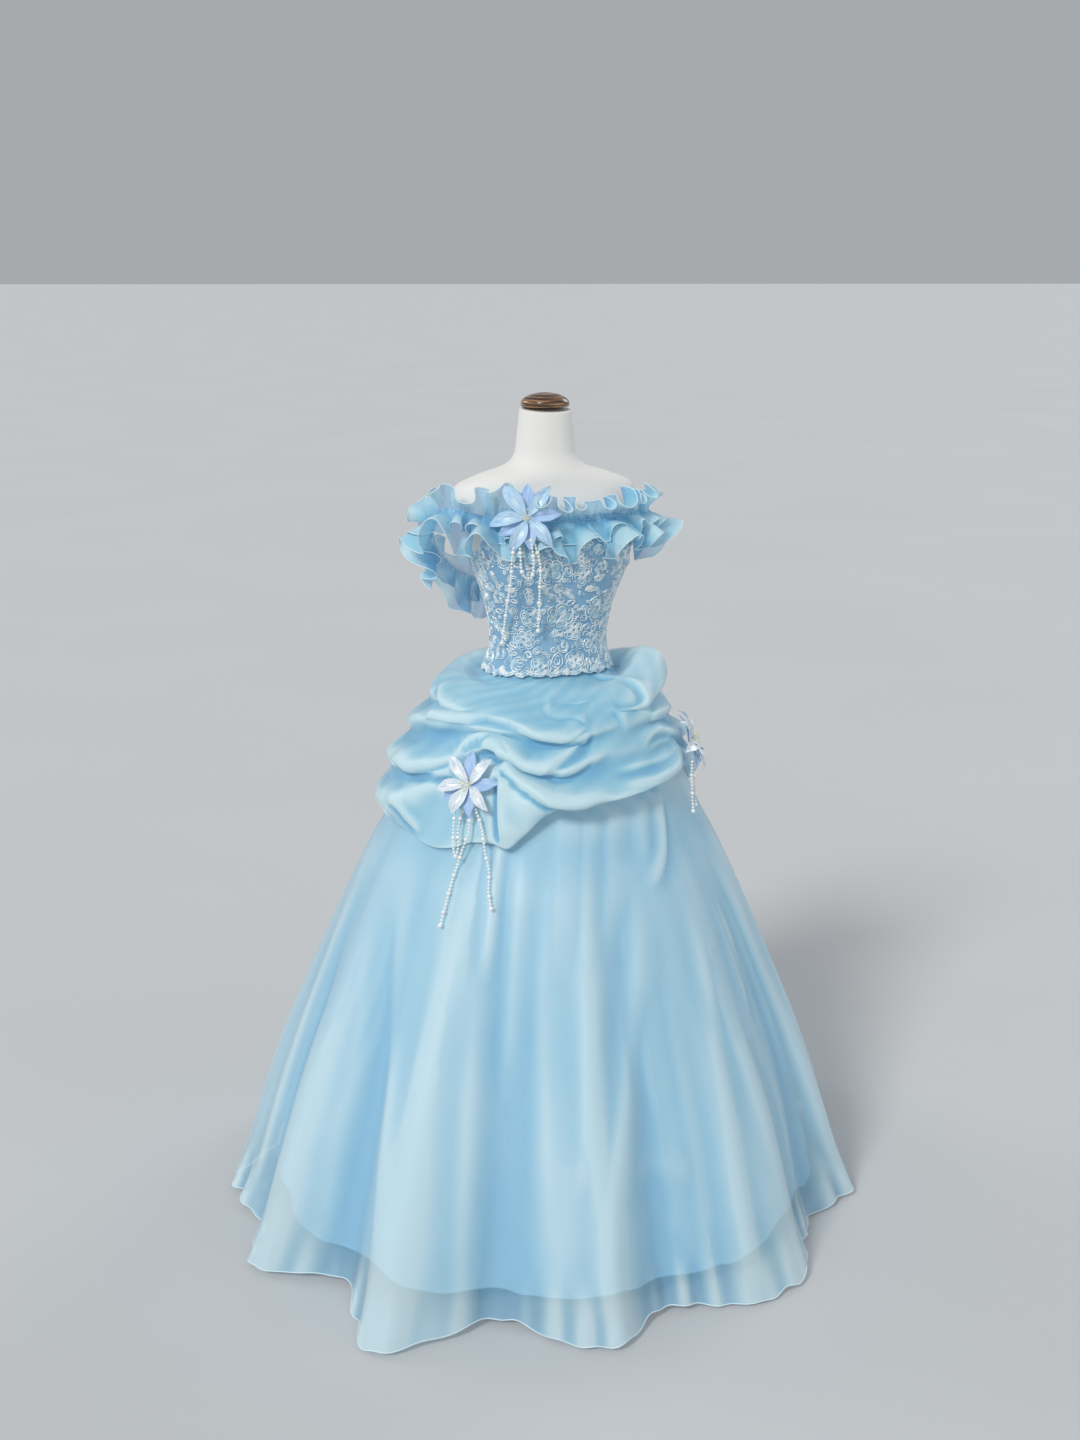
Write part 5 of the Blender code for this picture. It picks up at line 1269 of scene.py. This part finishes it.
def lace_fan(rng):
    """Fan of loops from one corner."""
    turn = rng.uniform(0, 2 * math.pi)
    start = -0.80 * turned(turn)
    paths = [loop(start, turn + 0.36 * k, 1.62 - 0.16 * abs(k), 0.24, 11) for k in range(-2, 3)]
    return paths, [(start * 0.7, turn + 0.36 * k, 1.10, 0.15) for k in (-2, 0, 2)]


def lace_ring(rng):
    """Small ring."""
    ring = np.linspace(0, 2 * math.pi, 8) + rng.uniform(0, 6)
    return [0.86 * turned(ring) * (1.0, rng.uniform(0.65, 1.0))], []


def lace_bud(rng):
    """Small slim loop."""
    turn = rng.uniform(0, 2 * math.pi)
    return [loop(-0.95 * turned(turn), turn, 1.9, 0.50, 8)], []


def lace_places(rng):
    """Motif centres packed over the bodice, big ones first: turn, height and radius."""
    spots = []
    points = [bodice_point(turn, height, 0.0) for turn, height, _ in BARE_SATIN]
    reach = [radius / 1000.0 for _, _, radius in BARE_SATIN]
    for radius, most in LACE_SIZES:
        radius = radius / 1000.0
        turns = rng.uniform(-176.5, 176.5, most * 36)
        low = bodice_bottom(turns) + 0.55 * radius
        top = bodice_top(turns) - 0.6 * radius
        heights = low + (top - low) * rng.uniform(0, 1, len(turns))
        where = bodice_point(turns, heights, 0.0)
        clear = (where[:, 1] < 0) | (np.abs(where[:, 0]) > ZIP_CLEAR + 0.8 * radius)
        full = len(spots) + most
        for k in np.nonzero(clear)[0]:
            away = np.sum((np.array(points) - where[k]) ** 2, axis=1)
            if np.all(away > ((np.array(reach) + radius) * MOTIF_GAP) ** 2):
                points.append(where[k])
                reach.append(radius)
                spots.append((turns[k], heights[k], radius))
                if len(spots) == full:
                    break
    return spots


def on_bodice(turn, height, radius, path):
    """Turn and height of points given in a motif's own round of radius 1."""
    ahead = bodice_point(turn + 1.0, height, 0.0) - bodice_point(turn - 1.0, height, 0.0)
    metres = float(np.linalg.norm(ahead)) / 2.0
    return np.stack([turn + path[:, 0] * radius / metres, height + path[:, 1] * radius], -1)


def satin_frame(turns, heights):
    """Points on the satin and the directions out of it."""
    place = bodice_point(turns, heights, 0.0)
    return place, unit(bodice_point(turns, heights, 0.001) - place)


def cord_mesh(paths, half, tall):
    """Half-round raised cords along paths of (turn, height) points on the bodice."""
    spots = np.concatenate(paths)
    number = np.concatenate([np.full(len(path), k) for k, path in enumerate(paths)])
    middle, out = satin_frame(spots[:, 0], spots[:, 1])
    ahead = np.gradient(middle, axis=0)
    same = number[1:] == number[:-1]
    first = np.nonzero(np.concatenate([[True], ~same]))[0]
    last = np.nonzero(np.concatenate([~same, [True]]))[0]
    step = np.diff(middle, axis=0)
    ahead[first] = step[first]
    ahead[last] = step[last - 1]
    side = unit(np.cross(out, ahead))
    section = ((-1.0, -0.15), (-0.62, 0.80), (0.62, 0.80), (1.0, -0.15))
    points = np.stack([middle + side * half * a + out * tall * b for a, b in section], axis=1)
    start = np.nonzero(same)[0]
    faces = [np.stack([start * 4 + k, start * 4 + k + 1, start * 4 + 5 + k, start * 4 + 4 + k],
                      axis=-1) for k in range(3)]
    return points.reshape(-1, 3), np.concatenate(faces).tolist()


def pad_mesh(pads, tall):
    """Raised padded leaves: each is a crowned patch with its rim on the satin."""
    points = []
    faces = []
    along = np.linspace(0.02, 0.98, 6)[:, None]
    side = np.array((-1.0, -0.5, 0.0, 0.5, 1.0))
    crown = (1 - side ** 2) * np.sin(math.pi * along) ** 0.5
    out = (tall * crown - 0.0001).reshape(-1)
    for turn, height, radius, (start, way, long, wide) in pads:
        across = wide * np.sin(math.pi * along) ** 0.8 * side
        flat = laid(start, way, long * along + 0 * side, across).reshape(-1, 2)
        spots = on_bodice(turn, height, radius, flat)
        faces += grid_faces(6, 5, False, 30 * len(points))
        points.append(bodice_point(spots[:, 0], spots[:, 1], out))
    return np.concatenate(points), faces


def add_lace(name, material, mesh):
    """A piece of the lace, sewn to the bodice."""
    hems["bodice"].append(add_piece("lace_" + name, "lace_over_satin", material, mesh))


def make_lace():
    """Corded lace over the satin: flowers, sprays, scrolls, fans, buds, sequins and beads."""
    rng = np.random.default_rng(2024)
    kinds = (
        # radius over this, and the motifs of that size
        (0.018, (lace_flower, lace_spray, lace_flower, lace_scroll)),
        (0.0105, (lace_flower, lace_drop, lace_fan, lace_scroll, lace_spray)),
        (0.0055, (lace_drop, lace_ring, lace_bud, lace_flower)),
        (0.0, (lace_ring, lace_bud)),
    )
    cords = {"front": [], "back": []}
    pads = {"front": [], "back": []}
    places = lace_places(rng)
    for turn, height, radius in places:
        motifs = next(motifs for over, motifs in kinds if radius > over)
        paths, raised = motifs[int(rng.integers(len(motifs)))](rng)
        half = "front" if abs(turn) < 90 else "back"
        cords[half] += [on_bodice(turn, height, radius, path) for path in paths]
        pads[half] += [(turn, height, radius, pad) for pad in raised]
    for first, last, half in ((-90.0, 90.0, "front"), (90.0, 177.0, "back"),
                              (-177.0, -90.0, "back")):
        turns = np.linspace(first, last, int((last - first) * 2.4))
        bottom = bodice_bottom(turns)
        top = bodice_top(turns)
        wave = 0.0011 * np.sin(np.radians(turns * 96.0))
        for line in (bottom + 0.0014, bottom + 0.0048 + wave, bottom + 0.0072 - wave,
                     top - 0.0014, top - 0.0046 + wave, top - 0.0068 - wave):
            cords[half].append(np.stack([turns, line], -1))
    for half in cords:
        add_lace("cords_" + half, "cord", cord_mesh(cords[half], CORD_HALF, CORD_TALL))
        add_lace("pads_" + half, "pad", pad_mesh(pads[half], PAD_TALL))
    sequins = []
    frames = []
    beads = []
    for turn, height, radius in places:
        many = 1 if radius < 0.009 else 3 if radius < 0.016 else 6
        for _ in range(many):
            far = 0.0 if many == 1 else radius * rng.uniform(0.15, 1.0)
            way = rng.uniform(0, 2 * math.pi)
            spot = on_bodice(turn, height, far, turned(np.array([way])))[0]
            if spot[1] < BODICE_BOTTOM + 0.008 or abs(spot[0]) > 177.0:
                continue
            place, out = satin_frame(*spot)
            out = unit(out + rng.normal(0, 0.16, 3))
            side = unit(np.cross(out, (0.0, 0.0, 1.0)))
            if rng.uniform() < 0.5:
                sequins.append(place + out * 0.0008)
                frames.append(np.array([side, np.cross(side, out), out]))
            else:
                beads.append(place + out * 0.0006)
    sizes = [SEQUIN] * len(sequins)
    add_lace("sequins", "sequin", scattered(stone(7, 4), sequins, sizes, frames))
    add_lace("beads", "pearl", scattered(stone(6, 4), beads, BEAD))


def make_zip():
    """Teeth down the middle of the tape, and the slider's pull."""
    low = float(bodice_bottom(ZIP_TURN)) + 0.004
    levels = np.arange(low, ZIP_TOP - 0.016, ZIP_TOOTH_STEP)
    spots = body_point(ZIP_TURN, levels, SATIN_FACE + waist_flare(levels))
    spots[:, 0] += 0.0007 * (-1.0) ** np.arange(len(levels))
    sizes = [ZIP_TOOTH] * len(levels)
    add_piece("zip_teeth", "zip_tape_blue", "tape", scattered(stone(6, 4), spots, sizes))
    levels = np.linspace(ZIP_TOP - 0.012, ZIP_TOP - 0.030, len(ZIP_PULL))
    corners = np.array([(-1, -1, 0), (1, -1, 0), (1, 1, 0), (-1, 1, 0)])
    reach = np.array([(half, ZIP_PULL_HALF, 0.0) for half in ZIP_PULL])
    rows = body_point(ZIP_TURN, levels, SATIN_FACE + 0.0025)[:, None] + corners * reach[:, None]
    end = 4 * len(ZIP_PULL)
    faces = grid_faces(len(ZIP_PULL), 4, True) + [[3, 2, 1, 0], list(range(end - 4, end))]
    add_piece("zip_pull", "zip_tape_blue", "tape", (rows.reshape(-1, 3), faces), smooth=False)
    for node in ("zip_tape", "zip_slider"):
        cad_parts[node].data.materials[0] = materials["tape"]


# ---------------------------------------------------------------- lilies and pearls
def lily_frame(name, azimuth, height, stand_out, lean):
    """Centre of a lily that leans up, and its facing, rising and sideways directions."""
    if name == "chest":
        centre = body_point(azimuth, height, stand_out)
    else:
        centre = round_point(azimuth, curve(height, *DRAPE_LOWER) + stand_out, height)
    angle = math.radians(azimuth)
    tilt = math.radians(lean)
    out = np.array((math.sin(angle), -math.cos(angle), 0.0))
    up = np.array((0.0, 0.0, 1.0))
    across = np.array((math.cos(angle), math.sin(angle), 0.0))
    return (centre, out * math.cos(tilt) + up * math.sin(tilt),
            up * math.cos(tilt) - out * math.sin(tilt), across)


def petal_way(turn, rise, across):
    """Direction round a lily's face, from its top, at a turn in radians."""
    return across * math.sin(turn) + rise * math.cos(turn)


def petal(length, width, cup, droop, seed):
    """Grid of a lily petal in its own place: along, across and out."""
    rng = np.random.default_rng(seed)
    u = np.linspace(0.0, 1.0, 26)[:, None]
    side = np.linspace(-1.0, 1.0, 13)
    half = width * np.sin(math.pi * u ** 1.12) ** 0.85
    half = np.maximum(half, 0.0022 * (1 - u) + 0.0003)
    bend = rng.uniform(-0.20, 0.20)
    twist = rng.uniform(-0.45, 0.45)
    curl = rng.uniform(0.5, 1.5)
    phase = rng.uniform(0, 6)
    rise = cup * np.sin(math.pi * 0.60 * u) - droop * u ** 3 * curl
    groove = 0.34 * half * np.abs(side) ** 1.4
    keel = -0.0008 * np.sin(math.pi * u) * hump(side, 0.0, 0.16)
    crimp = 0.0014 * np.sin(u * 21 + phase + 1.4 * np.sign(side)) * u * side ** 2
    return np.stack([length * u + 0 * side, half * side + length * bend * u * u,
                     rise + groove + keel + crimp + half * side * twist * u], axis=-1)


def make_petals(order, layer, centre, face, rise, across):
    """One ring of a lily's petals."""
    node, turns, length, width, cup, droop, material, slot, sink = layer
    points = []
    faces = []
    corners = []
    rng = np.random.default_rng(7 + order)
    for k, turn in enumerate(turns):
        turn = math.radians(turn + rng.uniform(-6.0, 6.0))
        grid = petal(length * rng.uniform(0.88, 1.08), width * rng.uniform(0.85, 1.12),
                     cup, droop * rng.uniform(0.6, 1.4), 100 * order + k)
        way = petal_way(turn, rise, across)
        spots = (centre + face * sink + grid[..., 0:1] * way
                 + grid[..., 1:2] * np.cross(face, way) + grid[..., 2:3] * face)
        faces += grid_faces(*grid.shape[:2], False, len(points))
        corners.append(grid_uv(grid, False))
        points += spots.reshape(-1, 3).tolist()
    add_piece(node + "_petals", slot, material, (points, faces), node,
              uv=np.concatenate(corners))


def make_lilies():
    """Lilies of silvery front petals, blue back petals, stamens and centre beads."""
    for order, (name, azimuth, height, length, stand_out, lean, share, width, droop,
                material) in enumerate(LILIES):
        place = lily_frame(name, azimuth, height, stand_out, lean)
        centre, face, rise, across = place
        for layer in (
                ("lily_" + name, FRONT_PETALS, length * share, width, FRONT_CUP, droop,
                 material, "lily_silver_blue", 0.0),
                ("lily_" + name + "_back", BACK_PETALS, length, BACK_WIDTH, BACK_CUP,
                 BACK_DROOP, "lily_back", "lily_periwinkle", BACK_SINK)):
            make_petals(order, layer, *place)
        lines = []
        rng = np.random.default_rng(40 + order)
        steps = np.linspace(0, 1, 8)[:, None]
        for k in range(STAMENS):
            turn = math.radians(k * STAMEN_TURN + rng.uniform(-12, 12))
            lean_out = rng.uniform(0.35, 0.75)
            way = petal_way(turn, rise, across)
            tall = rng.uniform(0.016, 0.022)
            lines.append(centre + face * steps * tall + way * steps ** 1.6 * tall * lean_out)
        tips = scattered(stone(8, 6), [line[-1] for line in lines],
                         [(0.0014, 0.0014, 0.0026)] * len(lines))
        add_piece("stamens_" + name, "lily_silver_blue", "gold",
                  joined(tubes(lines, THREAD, 5), tips))
        spots = []
        for k in range(LILY_BEADS):
            far = 0.0011 * math.sqrt(k) * 1.5
            spots.append(centre + face * (0.0065 - 0.3 * far)
                         + petal_way(math.radians(k * LILY_BEAD_TURN), rise, across) * far)
        add_piece("beads_" + name, "pearl_cream", "pearl",
                  scattered(stone(10, 7), spots, LILY_BEAD))


def strand_line(name, root, marks):
    """Fine points down a strand: off the form at the chest, off the organza at the hips."""
    azimuth, height, stand_out = columns(DEGREES_MM_MM, *marks)
    if name == "chest":
        spots = body_point(azimuth, height, stand_out)
    else:
        cloth = skirt_point(azimuth, height, ORGANZA)
        spots = round_point(azimuth, np.hypot(cloth[:, 0], cloth[:, 1]) + stand_out, height)
    spots = np.concatenate([[root], spots])
    run = run_along(spots)
    return follow(np.arange(0.0, run[-1], STRAND_STEP), run, spots)


def make_pearls():
    """Strands of large pearls with runs of small beads between them, on a thread."""
    for name, azimuth, height, _, stand_out, lean, *_ in LILIES:
        centre, face, rise, across = lily_frame(name, azimuth, height, stand_out, lean)
        bar = centre - rise * BAR_BELOW - face * BAR_BEHIND
        spots = []
        sizes = []
        lines = []
        for lily, root, *marks in PEARL_STRANDS:
            if lily != name:
                continue
            line = strand_line(name, bar + across * (root / 1000.0),
                               np.reshape(marks, (-1, 3)))
            run = run_along(line)
            at = 0.004
            k = 0
            while at < run[-1]:
                half = LARGE_PEARL if k % 5 == 4 else SMALL_PEARL
                after = LARGE_PEARL if k % 5 == 3 else SMALL_PEARL
                spots.append(follow(at, run, line, np.interp))
                sizes.append((half,) * 3)
                at += half + after + PEARL_GAP
                k += 1
            spots.append(line[-1])
            sizes.append((LAST_PEARL,) * 3)
            lines.append(line[::6])
        mesh = joined(scattered(stone(14, 9), spots, sizes), tubes(lines, THREAD, 4))
        add_piece("pearl_strands_" + name, "pearl_cream", "pearl", mesh, "pearls_" + name)


# ---------------------------------------------------------------- camera, light and floor
LIGHTS = (
    # name, from, angle, strength, colour
    ("key", (-2.0, -1.6, 2.0), 14.0, 1.75, (1.0, 0.99, 0.97)),
    ("fill", (2.4, -2.4, 1.2), 40.0, 0.28, (0.94, 0.97, 1.0)),
    ("rim_left", (-2.4, 2.4, 1.6), 25.0, 0.40, (0.95, 0.98, 1.0)),
    ("rim_right", (2.6, 1.4, 1.4), 25.0, 0.45, (0.95, 0.98, 1.0)),
)
FLOOR_HALF = 900
CAMERA_AZIMUTH = math.radians(-20.0)
CAMERA_PITCH = math.radians(-14.5)
CAMERA_AWAY = 3.40
CAMERA_HEIGHT = 1.90
CAMERA_LENS = 42.5
CAMERA_SHIFT = -5.0 / 1440.0


def aimed(thing, place, way):
    """Put a lamp or camera at a place, looking a way."""
    thing.location = place
    thing.rotation_euler = way.to_track_quat("-Z", "Y").to_euler()
    bpy.context.scene.collection.objects.link(thing)


def make_stage():
    """Pale floor, soft studio lights and the camera."""
    corners = [(x * FLOOR_HALF, y * FLOOR_HALF, 0)
               for x, y in ((-1, -1), (1, -1), (1, 1), (-1, 1))]
    floor = add_mesh("floor", "floor", corners, [[0, 1, 2, 3]], smooth=False)
    scene = bpy.context.scene
    scene.view_settings.view_transform = "Standard"
    scene.world = bpy.data.worlds.new("studio")
    scene.world.use_nodes = True
    background = scene.world.node_tree.nodes["Background"].inputs
    background["Color"].default_value = (0.80, 0.83, 0.86, 1)
    background["Strength"].default_value = 0.48
    for name, place, angle, strength, colour in LIGHTS:
        data = bpy.data.lights.new(name, "SUN")
        data.angle = math.radians(angle)
        data.energy = strength
        data.color = colour
        aimed(bpy.data.objects.new(name, data), place, -Vector(place))

    data = bpy.data.cameras.new("camera")
    data.lens = CAMERA_LENS
    data.sensor_width = 36.0
    data.shift_x = CAMERA_SHIFT
    scene.camera = bpy.data.objects.new("camera", data)
    s, c = math.sin(CAMERA_AZIMUTH), math.cos(CAMERA_AZIMUTH)
    level = math.cos(CAMERA_PITCH)
    aimed(scene.camera, (CAMERA_AWAY * s, -CAMERA_AWAY * c, CAMERA_HEIGHT),
          Vector((-s * level, c * level, math.sin(CAMERA_PITCH))))


make_stage()
make_form()
make_bodice()
make_lace()
make_zip()
make_ruffles()
make_skirt()
make_drape()
make_lilies()
make_pearls()
